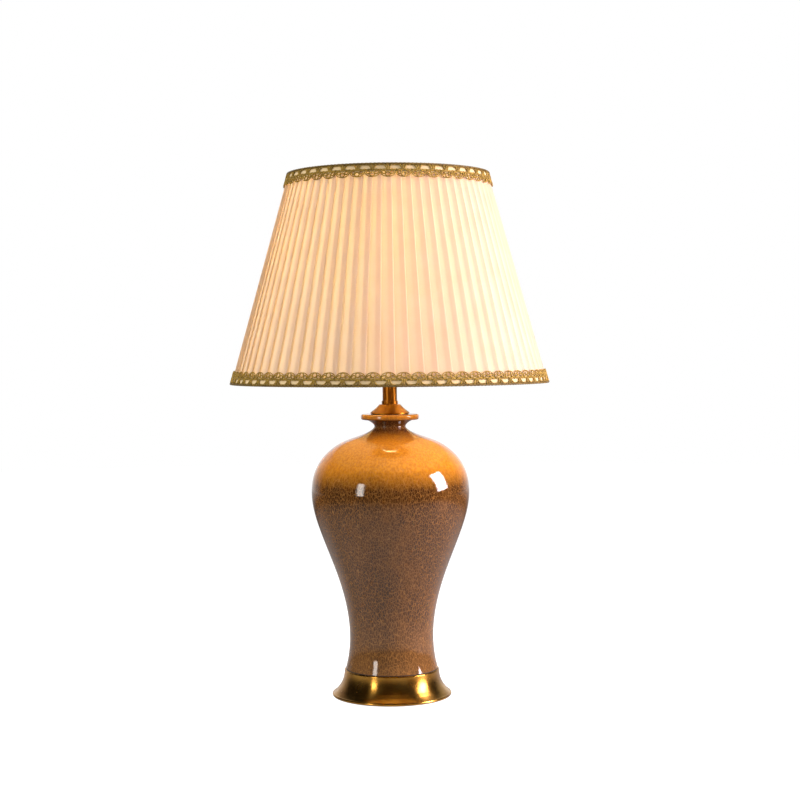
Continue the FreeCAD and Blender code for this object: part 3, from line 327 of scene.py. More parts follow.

# Glazed jar.
# Thrown stoneware under a thick brown glaze that has crazed as it cooled. The shoulder is
# painted honey-gold where the bulb lights it: painted lamplight. The lip's top edge is paler
# and orange, partly thinner glaze and partly painted lamplight. A darker band round the neck
# under the lip is painted shade. The glaze is paler toward the foot.

GLAZE_DEEP = (0.02, 0.0055, 0.0005)
GLAZE_BROWN = (0.03, 0.009, 0.001)
GLAZE_TAN = (0.07, 0.024, 0.003)
GLAZE_LAMPLIT_HONEY = (0.62, 0.24, 0.012)
GLAZE_LAMPLIT_HONEY_DARK = (0.44, 0.15, 0.008)
GLAZE_THIN_LAMPLIT = (0.3, 0.12, 0.02)
GLAZE_PALE = (0.14, 0.075, 0.035)
GLAZE_NECK_SHADE = (0.06, 0.014, 0.001)
LAMPLIT_LOW = 272.0
LAMPLIT_HIGH = 296.0
NECK_SHADE_BELOW = (322.0, 334.0)
NECK_SHADE_ABOVE = (346.0, 351.0)
CRAZE_PALE = (0.4, 0.18, 0.05)
CRAZE_CELL = 2.6
CRAZE_STRETCH = 0.45
CRAZE_WIDTH = 0.1
CRAZE_FINER_CELL = 0.45
CRAZE_FINER_WIDTH = 1.3
CRAZE_WANDER = 9.0
CRAZE_BEND = 2.2
CRAZE_SHOWN = 0.5
CRAZE_DEPTH = 0.006
GLAZE_CLOUD = 60.0
GLAZE_STREAK = 5.0
GLAZE_RAGGED = 12.0
LAMPLIT_MOTTLE = 2.4
GLAZE_ROUGHNESS = 0.035
THIN_LAMPLIT_LIP = 3.0
PALER_FOOT_RISE = 70.0


def crazing(made, cell, width):
    """Fine cracks, longer up and down than round the jar. 1 on a crack and 0 elsewhere."""
    where = place(made, (1, 1, CRAZE_STRETCH))
    inputs = {"Vector": where, "Scale": 1 / (CRAZE_WANDER * MM), "Detail": 2.0}
    wander = add(made, "ShaderNodeTexNoise", inputs).outputs["Color"]
    shift = add(
        made,
        "ShaderNodeVectorMath",
        {0: wander, "Scale": CRAZE_BEND * MM},
        operation="SCALE",
    ).outputs["Vector"]
    bent = add(made, "ShaderNodeVectorMath", {0: where, 1: shift}, operation="ADD")
    edge = add(
        made,
        "ShaderNodeTexVoronoi",
        {"Vector": bent.outputs["Vector"], "Scale": 1 / (cell * MM)},
        feature="DISTANCE_TO_EDGE",
    ).outputs["Distance"]
    return spread(made, edge, 1.0, 0.0, 0.0, width)


def mixed(made, factor, first, second, blend="MIX"):
    """Two colours mixed by a factor."""
    node = add(made, "ShaderNodeMix", {"Factor": factor}, data_type="RGBA", blend_type=blend)
    for socket, value in (("A", first), ("B", second)):
        target = [s for s in node.inputs if s.name == socket and s.type == "RGBA"][0]
        if isinstance(value, bpy.types.NodeSocket):
            made.node_tree.links.new(value, target)
        else:
            target.default_value = (*value, 1)
    return [s for s in node.outputs if s.type == "RGBA"][0]


def height_of(made):
    """Height above the table, in millimetres."""
    where = add(made, "ShaderNodeTexCoord").outputs["Object"]
    z = add(made, "ShaderNodeSeparateXYZ", {"Vector": where}).outputs["Z"]
    return maths(made, "DIVIDE", z, MM)


def glaze_finish():
    made, shader = material("crackle_glaze", roughness=GLAZE_ROUGHNESS, ior=1.5)
    low, high = corners("jar")
    clouds = noise(made, GLAZE_CLOUD, 5.0, stretch=(1, 1, 0.5))
    streaks = noise(made, GLAZE_STREAK, 4.0, stretch=(1, 1, 0.12))
    depth = blended(made, clouds, streaks, 0.7)
    body = tones(made, depth, [(0.36, GLAZE_DEEP), (0.48, GLAZE_BROWN), (0.6, GLAZE_TAN)])
    height = height_of(made)
    ragged = maths(made, "ADD", height, maths(made, "MULTIPLY", streaks, GLAZE_RAGGED))
    # Painted lamplight: honey-gold on the shoulder, above the height where the bulb's light stops.
    lamplit_share = spread(made, ragged, 0.0, 0.8, LAMPLIT_LOW, LAMPLIT_HIGH)
    mottle = noise(made, LAMPLIT_MOTTLE, 3.0, stretch=(1, 1, 0.5))
    lamplit_gold = tones(made, mottle, [(0.38, GLAZE_LAMPLIT_HONEY_DARK), (0.6, GLAZE_LAMPLIT_HONEY)])
    body = mixed(made, lamplit_share, body, lamplit_gold)
    # Painted shade: a darker band round the neck, under the lip.
    neck_shade = maths(
        made,
        "MULTIPLY",
        spread(made, height, 0.0, 1.0, *NECK_SHADE_BELOW),
        spread(made, height, 1.0, 0.0, *NECK_SHADE_ABOVE),
    )
    body = mixed(made, neck_shade, body, GLAZE_NECK_SHADE)
    # Paler toward the foot, fading out over this rise.
    paler_foot = spread(made, height, 0.5, 0.0, low.z, low.z + PALER_FOOT_RISE)
    body = mixed(made, paler_foot, body, GLAZE_PALE)
    # The lip's top edge is paler and orange: partly thinner glaze, partly painted lamplight.
    thin_lamplit_lip = spread(made, height, 0.0, 0.8, high.z - THIN_LAMPLIT_LIP, high.z)
    body = mixed(made, thin_lamplit_lip, body, GLAZE_THIN_LAMPLIT)
    coarse = crazing(made, CRAZE_CELL, CRAZE_WIDTH)
    finer = crazing(made, CRAZE_CELL * CRAZE_FINER_CELL, CRAZE_WIDTH * CRAZE_FINER_WIDTH)
    fine = maths(made, "MULTIPLY", finer, 0.5)
    cracks = maths(made, "MAXIMUM", coarse, fine)
    shown = maths(made, "MULTIPLY", cracks, CRAZE_SHOWN)
    link(made, mixed(made, shown, body, CRAZE_PALE), shader, "Base Color")
    raised(made, shader, maths(made, "SUBTRACT", 1.0, cracks), CRAZE_DEPTH)
    return made


dress(glaze_finish(), "jar")

# Cap, collar and neck tube.
# A spun cap closes the jar's mouth. A turned check ring sits on it, and a brass tube hides
# the pipe up to the harp's saddle.

NECK_SHADED_LIGHT = (0.34, 0.136, 0.016)
NECK_SHADED_DARK = (0.22, 0.078, 0.007)
NECK_ROUGHNESS = 0.34
NECK_SPUN = 0.7

# Painted shade: the same brass painted darker and browner, for the dark room these pieces reflect.
shaded_neck_brass = brass_finish("shaded_neck_brass", NECK_SHADED_LIGHT, NECK_SHADED_DARK, NECK_ROUGHNESS, NECK_SPUN)
dress(shaded_neck_brass, "vase_cap", "collar", "neck_tube")

# Harp: saddle, wire, ferrules and stud.
# A strip saddle under the socket holds the bent brass wire by two sliding ferrules, and the
# stud swaged on its crown carries the shade.

STUD_SLEEVE_RADIUS = 4.4
STUD_RADIUS = 3.1
STUD_SEAT_THICKNESS = 2.0
STUD_SEAT_GAP = 0.1
STUD_PLAIN = 1.0
STUD_POINT = 0.6
STUD_PITCH = 0.94
STUD_THREAD_DEPTH = 0.3
STUD_SIDES = 32
THREAD_STEPS = 8
HARP_LIGHT = (0.72, 0.5, 0.2)
HARP_DARK = (0.5, 0.3, 0.09)
SOCKET_LIGHT = (0.76, 0.56, 0.24)
SOCKET_DARK = (0.56, 0.37, 0.13)


def threaded(rows, pitch, depth, sides):
    """Rings of points for rows of (radius, height, is threaded), with a thread cut in some."""
    turn = 2 * math.pi * np.arange(sides) / sides
    points = []
    for radius, height, is_threaded in rows:
        for angle in turn:
            turns = (height / pitch - angle / (2 * math.pi)) % 1
            cut = depth * (1 - math.cos(2 * math.pi * turns)) / 2 if is_threaded else 0
            reach = radius - cut
            points.append((reach * math.cos(angle), reach * math.sin(angle), height))
    return np.array(points)


def threaded_rows(radius, low, high, pitch):
    """Rows close enough together to show a thread between two heights."""
    count = int((high - low) / pitch * THREAD_STEPS)
    return [(radius, z, True) for z in np.linspace(low, high, count)]


harp_brass = brass_finish("drawn_brass", HARP_LIGHT, HARP_DARK, 0.24)
socket_brass = brass_finish("pressed_brass", SOCKET_LIGHT, SOCKET_DARK, 0.26)
dress(socket_brass, "saddle")
dress(harp_brass, "harp_wire", "ferrule_left", "ferrule_right")


def threaded_stud():
    """The stud's sleeve and seat with the thread that takes the finial."""
    low, high = corners("harp_stud")
    washer_z = corners("spider_washer")[0].z
    seat_z = washer_z - STUD_SEAT_GAP
    seat_low_z = seat_z - STUD_SEAT_THICKNESS
    rows = [
        (AXIS_RADIUS, low.z, False),
        (STUD_SLEEVE_RADIUS, low.z, False),
        (STUD_SLEEVE_RADIUS, seat_low_z, False),
        (high.x, seat_low_z, False),
        (high.x, seat_z, False),
        (STUD_RADIUS, seat_z, False),
        (STUD_RADIUS, washer_z + STUD_PLAIN, False),
    ]
    rows += threaded_rows(STUD_RADIUS, washer_z + 1.4, high.z - 0.8, STUD_PITCH)
    rows += [(STUD_RADIUS - STUD_POINT, high.z, False), (AXIS_RADIUS, high.z, False)]
    points = threaded(rows, STUD_PITCH, STUD_THREAD_DEPTH, STUD_SIDES)
    faces = grid(len(rows), STUD_SIDES)
    stud = new_piece("threaded_stud", points, faces, harp_brass, "harp")
    stud.data.shade_flat()
    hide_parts("harp_stud")


threaded_stud()

# Lamp socket.
# A pressed brass cap and shell hold a moulded switch block, with an insulating sleeve
# between them and a rolled screw shell and a contact tongue for the bulb.

CARD = ((0.34, 0.25, 0.14), (0.5, 0.4, 0.25))
SOCKET_PITCH = 3.63
SOCKET_THREAD_DEPTH = 0.8
SHELL_THREAD_SHARE = 0.6
SCREW_SIDES = 48
SHELL_SHEET = 0.3

dress(socket_brass, "socket_cap", "socket_shell", "terminal_screws", "centre_contact")
dress(black_plastic, "switch_block")
dress(moulded_finish("pressed_card", CARD, 0.85, 0.5, 0.04), "socket_liner")


def rolled_screw_shell():
    """The screw shell, rolled from thin brass with a rounded thread."""
    low, high = corners("screw_shell")
    outer = high.x
    inside = threaded_rows(outer - SHELL_SHEET, low.z, high.z, SOCKET_PITCH)
    outside = threaded_rows(outer, low.z, high.z, SOCKET_PITCH)[::-1]
    depth = SOCKET_THREAD_DEPTH * SHELL_THREAD_SHARE
    points = threaded(inside + outside, SOCKET_PITCH, depth, SCREW_SIDES)
    faces = grid(len(inside + outside), SCREW_SIDES, closed_rows=True)
    shell = new_piece("rolled_screw_shell", points, faces, socket_brass, "stand")
    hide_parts("screw_shell")


rolled_screw_shell()

# Switch shaft and knob.
# A nickelled shaft carries a fluted moulded knob that turns the lamp on and off.

NICKEL_LIGHT = (0.68, 0.66, 0.62)
NICKEL_DARK = (0.52, 0.5, 0.46)

nickel = brass_finish("nickel_plate", NICKEL_LIGHT, NICKEL_DARK, 0.2)
dress(nickel, "knob_shaft")
dress(black_plastic, "switch_knob")

# Bulb.
# A round screw-in bulb: a nickelled screw cap with its insulator and tip, a white housing,
# a light board and a frosted globe, lit in the photograph.

GLOBE_LIGHT = (1.0, 0.8, 0.36)
GLOBE_STRENGTH = 80.0
GLOBE_RIM_SHARE = 0.1
GLOBE_DIM_RIM = 18.0
GLOBE_FROST = (1.0, 0.9, 0.72)
WHITE_PLASTIC = ((0.74, 0.72, 0.67), (0.84, 0.82, 0.77))
WHITE_BOARD = ((0.78, 0.78, 0.78), (0.86, 0.86, 0.86))

dress(moulded_finish("white_housing", WHITE_PLASTIC, 0.4), "bulb_housing")
dress(moulded_finish("white_board", WHITE_BOARD, 0.5), "led_board")
dress(moulded_finish("bulb_insulation", PLASTIC_BLACK, 0.2), "bulb_insulator")
dress(nickel, "bulb_tip")


def rolled_bulb_cap():
    """The bulb's screw cap, rolled to match the socket's thread, with a plain lip at each end."""
    low, high = corners("bulb_cap")
    outer = high.x
    spigot = corners("bulb_insulator")[1].x
    rows = [(spigot, low.z, False), (outer - 0.9, low.z + 2.6, False)]
    rows += threaded_rows(outer, low.z + 3.0, high.z - 1.2, SOCKET_PITCH)
    rows += [(outer - 0.4, high.z - 0.6, False), (outer, high.z, False)]
    points = threaded(rows, SOCKET_PITCH, SOCKET_THREAD_DEPTH, SCREW_SIDES)
    faces = grid(len(rows), SCREW_SIDES)
    cap = new_piece("rolled_bulb_cap", points, faces, nickel, "bulb")
    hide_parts("bulb_cap")


rolled_bulb_cap()


def lit_finish():
    """Frosted globe that glows as brightly as the shade needs, dimmer near its lower rim."""
    made, shader = material(
        "lit_globe",
        base_color=(*GLOBE_FROST, 1),
        roughness=0.5,
        emission_color=(*GLOBE_LIGHT, 1),
    )
    low = corners("bulb_globe")[0].z
    share = spread(made, height_of(made), GLOBE_RIM_SHARE, 1.0, low, low + GLOBE_DIM_RIM)
    link(made, maths(made, "MULTIPLY", share, GLOBE_STRENGTH), shader, "Emission Strength")
    raised(made, shader, noise(made, 0.8, 3.0), 0.02)
    return made


dress(lit_finish(), "bulb_globe")

# Shade frame and liner.
# Two wire rings and three spider arms, zinc plated, with a stiff translucent sheet rolled
# to a cone between the rings.

LINER_WHITE = (0.92, 0.87, 0.76)
LINER_WARM = (0.88, 0.81, 0.68)
LINER_SHARE = 0.55
LINER_GLOW = (1.0, 0.67, 0.22)
LINER_GLOW_LEVEL = 0.5
LINER_CLOUD = 14.0
ZINC_LIGHT = (0.6, 0.6, 0.6)
ZINC_DARK = (0.4, 0.4, 0.4)

dress(
    brass_finish("ring_wire", ZINC_LIGHT, ZINC_DARK, 0.3),
    "shade_top_ring",
    "shade_bottom_ring",
    "spider_arms",
    "spider_washer",
)


def see_through(made, shader, share, colour):
    """Lets a share of the light through the sheet, in a colour or a pattern of colours."""
    tree = made.node_tree
    inputs = {"Color": colour if isinstance(colour, bpy.types.NodeSocket) else (*colour, 1)}
    through = add(made, "ShaderNodeBsdfTranslucent", inputs)
    both = add(made, "ShaderNodeMixShader", {"Fac": share})
    tree.links.new(shader.outputs["BSDF"], both.inputs[1])
    tree.links.new(through.outputs["BSDF"], both.inputs[2])
    tree.links.new(both.outputs["Shader"], tree.nodes["Material Output"].inputs["Surface"])


def liner_finish():
    """Warm white sheet. Its glow stands for the light that scatters inside the shade."""
    made, shader = material(
        "translucent_liner",
        roughness=0.45,
        emission_color=(*LINER_GLOW, 1),
        emission_strength=LINER_GLOW_LEVEL,
    )
    clouds = noise(made, LINER_CLOUD, 4.0)
    colour = tones(made, clouds, [(0.3, LINER_WARM), (0.7, LINER_WHITE)])
    link(made, colour, shader, "Base Color")
    see_through(made, shader, LINER_SHARE, colour)
    return made


dress(liner_finish(), "shade_liner")

# Pleated cloth of the shade.
# A strip of cream cloth is laid in 72 knife pleats round the frame, each fold tucked under
# the one before it. The folds are deeper at the top, where the same cloth has less room.

PLEATS = 72
FIRST_PLEAT = 1.8
CREST_DEPTH = 2.3
TUCK_DEPTH = 5.4
FOLD_OVERHANG = 0.03
TUCK_BOTTOM = 0.4
TUCK_TOP = 0.55
FOLD_ROUND = 0.25
CLOTH_ROWS = 25
CLOTH_SHARE = 0.68
CLOTH_LIGHT = (0.94, 0.855, 0.785)
CLOTH_SHADE = (0.92, 0.81, 0.7)
OVERLAP_PAINTED_SHADE = (0.93, 0.89, 0.82)
SLUB = 1.6
CLOTH_CLOUD = 30.0
CLOTH_RELIEF = 0.05
SHADE_BOTTOM_RADIUS = 200.0
SHADE_TOP_RADIUS = 126.5

shade_low = corners("bottom_tape")[0].z
shade_high = corners("top_tape")[1].z
slope = (SHADE_BOTTOM_RADIUS - SHADE_TOP_RADIUS) / (shade_high - shade_low)
slant = math.hypot(1, slope)


def on_shade(angle, height, depth):
    """A point so far under the shade's outermost cone. The angle is in degrees."""
    radius = SHADE_BOTTOM_RADIUS - (height - shade_low) * slope - depth
    turn = math.radians(angle)
    return radius * math.cos(turn), radius * math.sin(turn), height


def pleat_section(share):
    """One pleat across, for a share of the way up the shade.

    Each entry is (place along the step, depth, how far the folds overlap there). The face
    comes first, from tuck to crest, and then the cloth that turns back under the crest.
    """
    tuck = TUCK_BOTTOM + (TUCK_TOP - TUCK_BOTTOM) * share
    crest = 1 + FOLD_OVERHANG
    wide = 1 + tuck
    rise = TUCK_DEPTH - CREST_DEPTH
    seen, doubled = tuck / wide, 1 / wide
    face = [
        (0, 1),
        (seen, 0),
        (0.6 * seen + 0.4 * doubled, 0.12),
        (doubled - 0.05, 0.35),
        (doubled + 0.06, 0.9),
        (0.93, 1),
        (0.985, 1),
    ]
    section = []
    for along, overlap in face:
        sink = np.interp(along, (0, 0.28, 0.55, 0.8, 0.93, 0.985), (1, 0.86, 0.62, 0.3, 0.1, 0))
        section.append((crest - wide + along * wide, CREST_DEPTH + sink * rise, overlap))
    section += [
        (crest, CREST_DEPTH + FOLD_ROUND * 0.5, 0.5),
        (crest - 0.01, CREST_DEPTH + FOLD_ROUND * 1.2, 1),
        (crest - 0.1, CREST_DEPTH + 0.3 * rise, 1),
        (crest - 0.6 * tuck, CREST_DEPTH + 0.75 * rise, 1),
        (crest - 0.97 * tuck, TUCK_DEPTH - 0.28, 1),
        (crest - tuck, TUCK_DEPTH - 0.14, 1),
    ]
    return section


def cloth_finish():
    made, shader = material("pleated_silk", roughness=0.62, sheen_weight=0.15)
    slubs = noise(made, SLUB, 3.0, stretch=(1, 1, 9))
    clouds = noise(made, CLOTH_CLOUD, 3.0)
    pattern = blended(made, slubs, clouds, 0.5)
    colour = tones(made, pattern, [(0.36, CLOTH_SHADE), (0.62, CLOTH_LIGHT)])
    # Painted shade: the cloth is darker where its folds overlap, for the lamplight the extra
    # layers hold back.
    overlap = add(made, "ShaderNodeAttribute", attribute_name="overlap").outputs["Fac"]
    painted_overlap_shade = mixed(made, overlap, (1, 1, 1), OVERLAP_PAINTED_SHADE)
    colour = mixed(made, 1.0, colour, painted_overlap_shade, "MULTIPLY")
    link(made, colour, shader, "Base Color")
    raised(made, shader, slubs, CLOTH_RELIEF)
    see_through(made, shader, CLOTH_SHARE, colour)
    return made


def pleated_cloth():
    """The whole cloth, with the width and height of its flat strip and the strip's area."""
    low, high = corners("pleated_cover")
    heights = np.linspace(low.z, high.z, CLOTH_ROWS)
    step = 360 / PLEATS
    points, overlaps, flat_widths = [], [], []
    for height in heights:
        share = (height - low.z) / (high.z - low.z)
        section = pleat_section(share)
        row = []
        for pleat in range(PLEATS):
            for along, depth, overlap in section:
                row.append(on_shade(FIRST_PLEAT + (pleat + along) * step, height, depth))
                overlaps.append(overlap)
        row = np.array(row)
        flat_widths.append(np.linalg.norm(row - np.roll(row, -1, axis=0), axis=1).sum())
        points.append(row)
    columns = len(points[0])
    faces = grid(CLOTH_ROWS, columns)
    cloth = new_piece(
        "pleated_cloth", np.concatenate(points), faces, cloth_finish(), "shade"
    )
    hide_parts("pleated_cover")
    layer = cloth.data.attributes.new("overlap", "FLOAT", "POINT")
    layer.data.foreach_set("value", overlaps)
    long_way = (high.z - low.z) * slant
    area = sum(flat_widths) / CLOTH_ROWS * long_way
    return cloth, (max(flat_widths) * MM, long_way * MM), area * MM * MM


cloth, cloth_cut, cloth_area = pleated_cloth()

# Edge tapes and their corded rims.
# A cream bias tape is folded over each wire ring and glued to both sides of the shade, and
# a twisted olive cord is stitched along its fold.

TAPE_CREAM = ((0.66, 0.5, 0.26), (0.76, 0.6, 0.34))
TAPE_SHARE = 0.2
TAPE_COLUMNS = 360
TAPE_OUTER_FLAP = 11.0
TAPE_OUTER_DEPTH = 1.95
TAPE_INNER_FLAP = 9.0
TAPE_INNER_DEPTH = 7.0
LOWER_RING_DEPTH = 9.6
UPPER_RING_DEPTH = 8.0
CORD_RADIUS = 1.25
CORD_LAY = 5.0
CORD_STRANDS = 3
CORD_LOBE = 0.16
CORD_SIDES = 9
CORD_STEPS = 6
CM = 10.0
OLIVE_DEEP = (0.04, 0.025, 0.003)
OLIVE_GOLD = (0.24, 0.145, 0.028)


def tape_finish():
    made, shader = material("bias_tape", roughness=0.75, sheen_weight=0.3)
    weave = noise(made, 0.5, 2.0)
    colour = tones(made, weave, [(0.35, TAPE_CREAM[0]), (0.65, TAPE_CREAM[1])])
    link(made, colour, shader, "Base Color")
    raised(made, shader, weave, 0.05)
    see_through(made, shader, TAPE_SHARE, colour)
    return made


def yarn_finish(name, dark, light, stripe):
    """Twisted silky yarn: fine slanting threads across the cord, from the mesh's own map. The
    dark and gold bands along the threads are partly the yarn's olive and gold, partly painted
    shade between the threads and painted highlight on them.
    """
    made, shader = material(name, roughness=0.5, specular_ior_level=0.3)
    along = add(made, "ShaderNodeUVMap", uv_map="along").outputs["UV"]
    inputs = {"Vector": along, "Scale": stripe, "Distortion": 0.6, "Detail": 1.0}
    threads = add(made, "ShaderNodeTexWave", inputs, bands_direction="DIAGONAL").outputs["Fac"]
    fray = noise(made, 4.0, 3.0)
    yarn = blended(made, threads, fray, 0.45)
    link(made, tones(made, yarn, [(0.25, dark), (0.75, light)]), shader, "Base Color")
    raised(made, shader, threads, 0.12)
    return made


def cord_tube(path, outward, radius, sides, closed=False, lobes=0, twists=0):
    """A round cord along a path, ridged if it has lobes, which wind round it by the twists.

    outward gives each point's direction away from the shade.
    """
    path = np.asarray(path, float)
    outward = np.asarray(outward, float)
    ahead = np.roll(path, -1, axis=0) - np.roll(path, 1, axis=0)
    if not closed:
        ahead[0] = path[1] - path[0]
        ahead[-1] = path[-1] - path[-2]
    ahead /= np.linalg.norm(ahead, axis=1)[:, None]
    side = np.cross(ahead, outward)
    side /= np.linalg.norm(side, axis=1)[:, None]
    up = np.cross(side, ahead)
    turn = 2 * math.pi * np.arange(sides) / sides
    along = np.arange(len(path)) / len(path)
    reach = np.full((len(path), sides), radius)
    if lobes:
        winding = turn[None, :] - 2 * math.pi * twists * along[:, None]
        reach = radius * (1 + CORD_LOBE * np.cos(lobes * winding))
    ring = (
        path[:, None, :]
        + reach[:, :, None] * np.cos(turn)[None, :, None] * up[:, None, :]
        + reach[:, :, None] * np.sin(turn)[None, :, None] * side[:, None, :]
    )
    faces = grid(len(path), sides, closed_rows=closed)
    if not closed:
        faces.append(tuple(range(sides))[::-1])
        last = (len(path) - 1) * sides
        faces.append(tuple(last + k for k in range(sides)))
    return ring.reshape(-1, 3), faces


def rim_radius(height):
    """The radius of the shade's outermost cone at a height."""
    return SHADE_BOTTOM_RADIUS - (height - shade_low) * slope


def unit_outward(angle):
    """The direction straight out of the shade's side at an angle in degrees."""
    turn = math.radians(angle)
    return np.array([math.cos(turn), math.sin(turn), slope]) / slant


def map_along(piece, lengths):
    """A map whose first coordinate is the distance along the yarn, in centimetres."""
    layer = piece.data.uv_layers.new(name="along")
    loops = np.zeros(len(piece.data.loops), np.int32)
    piece.data.loops.foreach_get("vertex_index", loops)
    layer.data.foreach_set("uv", np.asarray(lengths, np.float32)[loops].ravel())


def folded_tape(name, replaced, edge, up, ring_depth):
    """The tape, from its outer flap round the rim and the ring to its inner flap.

    The section is (distance from the edge, depth under the shade's outermost cone).
    """
    section = [
        (TAPE_OUTER_FLAP, TAPE_OUTER_DEPTH),
        (2.6, TAPE_OUTER_DEPTH),
        (1.2, 1.6),
        (0.55, 3.2),
        (0.55, ring_depth - 1.5),
        (1.0, ring_depth + 1.4),
        (3.6, ring_depth + 1.9),
        (TAPE_INNER_FLAP, TAPE_INNER_DEPTH),
    ]
    points = []
    for rise, depth in section:
        for i in range(TAPE_COLUMNS):
            points.append(on_shade(i * 360 / TAPE_COLUMNS, edge + up * rise, depth))
    points = np.array(points)
    faces = grid(len(section), TAPE_COLUMNS)
    tape = new_piece(name, points, faces, tape_finish(), "shade")
    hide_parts(replaced)


rim_yarn = yarn_finish("rim_cord", OLIVE_DEEP, OLIVE_GOLD, 3.0)


def rim_cord(name, edge, up):
    """The twisted cord along a rim."""
    around = 2 * math.pi * rim_radius(edge)
    twists = int(around / CORD_LAY)
    count = twists * CORD_STEPS
    height = edge + up * CORD_RADIUS
    angles = [i * 360 / count for i in range(count)]
    path = [on_shade(angle, height, CORD_RADIUS) for angle in angles]
    outward = [unit_outward(angle) for angle in angles]
    points, faces = cord_tube(
        path,
        outward,
        CORD_RADIUS * 0.9,
        CORD_SIDES,
        closed=True,
        lobes=CORD_STRANDS,
        twists=twists / CORD_STRANDS,
    )
    cord = new_piece(name, points, faces, rim_yarn, "shade")
    along = np.repeat(np.arange(count), CORD_SIDES) / count * around / CM
    across = np.tile(np.arange(CORD_SIDES), count) / CORD_SIDES
    map_along(cord, np.stack([along, across], 1))
    return cord


folded_tape("lower_tape", "bottom_tape", shade_low, 1, LOWER_RING_DEPTH)
folded_tape("upper_tape", "top_tape", shade_high, -1, UPPER_RING_DEPTH)
rims = [
    rim_cord("lower_rim_cord", shade_low, 1),
    rim_cord("upper_rim_cord", shade_high, -1),
]

# Gimp braid round both edges.
# A passementerie braid of silk-wrapped cord is glued over the tape: posts on a base thread,
# a waved double band and a fan of three loops at each scallop.

LOWER_SCALLOPS = 70
UPPER_SCALLOPS = 44
LOWER_FIRST_SCALLOP = 2.2
UPPER_FIRST_SCALLOP = 0.0
BRAID_YARN_DARK = (0.06, 0.034, 0.003)
BRAID_YARN_GOLD = (0.58, 0.36, 0.06)
YARN = 0.72
YARN_SIDES = 6
BAND_RISE = 9.0
BASE_RISE = 3.1
BRAID_MIDDLE = 9


def oval(centre, across, high, count=14, lean=0.0):
    """A loop of yarn, closed, as (along, rise) in millimetres."""
    points = []
    for i in range(count):
        turn = 2 * math.pi * i / count
        x, y = across * math.cos(turn), high * math.sin(turn)
        points.append(
            (
                centre[0] + x * math.cos(lean) - y * math.sin(lean),
                centre[1] + x * math.sin(lean) + y * math.cos(lean),
            )
        )
    return points


def braid_strands(pitch):
    """The strands of one repeat: (points, radius, is a closed loop, depth of its middle).

    They are a fan of three loops, an arch over it, two waved bands, three posts and the
    base thread, as (along, rise from the edge) in millimetres.
    """
    half = pitch / 2
    strands = [
        (oval((0, 14.5), 2.7, 2.7), YARN, True, 0.75),
        (oval((-5.1, 12.0), 2.5, 1.9, lean=0.5), YARN, True, 0.95),
        (oval((5.1, 12.0), 2.5, 1.9, lean=-0.5), YARN, True, 0.95),
    ]
    arch = [
        (half * math.cos(turn), 9.6 + 7.9 * math.sin(turn) ** 0.8)
        for turn in np.linspace(0.12, math.pi - 0.12, 13)
    ]
    strands.append((arch, YARN * 0.8, False, 1.2))
    for side in (-1, 1):
        wave = [
            (x, BAND_RISE + side * 0.8 * math.cos(4 * math.pi * x / pitch))
            for x in np.linspace(-half, half, 13)
        ]
        strands.append((wave, YARN * 0.9, False, 1.1 + 0.25 * side))
        leg = [(side * 2.4, 9.4), (side * 1.7, 7.4), (side * 2.4, 5.2), (side * 4.4, 3.2)]
        strands.append((leg, YARN * 1.25, False, 1.0))
    strands.append(([(0, 9.2), (0, 7.0), (0, 5.0), (0, 3.2)], YARN * 1.2, False, 0.8))
    strands.append(([(x, BASE_RISE) for x in np.linspace(-half, half, 7)], YARN * 0.7, False, 1.3))
    return strands


def gimp_braid(name, replaced, edge, up, repeats, first, made):
    """The strands of every repeat round one edge. first is the first repeat's angle."""
    radius = rim_radius(edge + up * BRAID_MIDDLE)
    pitch = 2 * math.pi * radius / repeats
    step = 360 / repeats
    strands = braid_strands(pitch)
    points, faces, lengths = [], [], []
    base = 0
    for i in range(repeats):
        for strand, yarn, closed, depth in strands:
            path, outward = [], []
            for along, rise in strand:
                angle = first + (i + along / pitch) * step
                path.append(on_shade(angle, edge + up * rise / slant, depth))
                outward.append(unit_outward(angle))
            made_points, made_faces = cord_tube(path, outward, yarn, YARN_SIDES, closed)
            points.append(made_points)
            faces += [tuple(base + k for k in face) for face in made_faces]
            count = len(strand)
            gaps = np.linalg.norm(np.diff(np.array(path), axis=0), axis=1)
            travelled = np.concatenate([[0], np.cumsum(gaps)]) / CM
            across = np.tile(np.arange(YARN_SIDES), count) / YARN_SIDES
            lengths.append(np.stack([np.repeat(travelled, YARN_SIDES), across], 1))
            base += len(made_points)
    braid = new_piece(name, np.concatenate(points), faces, made, "shade")
    map_along(braid, np.concatenate(lengths))
    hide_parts(replaced)
    return braid


braid_yarn = yarn_finish("braid_yarn", BRAID_YARN_DARK, BRAID_YARN_GOLD, 6.0)
braids = [
    gimp_braid(
        "lower_gimp",
        "bottom_braid",
        shade_low,
        1,
        LOWER_SCALLOPS,
        LOWER_FIRST_SCALLOP,
        braid_yarn,
    ),
    gimp_braid(
        "upper_gimp",
        "top_braid",
        shade_high,
        -1,
        UPPER_SCALLOPS,
        UPPER_FIRST_SCALLOP,
        braid_yarn,
    ),
]

# Finial.
# A turned brass knob screws on the harp's stud and holds the shade down.

dress(aged_brass, "finial")

# Studio: floor, lamps, sky and camera.
# A white table in front of a white backdrop, a softbox low on each side in front, a wide
# weak bounce from the left, and a long lens a little above the middle of the lamp.

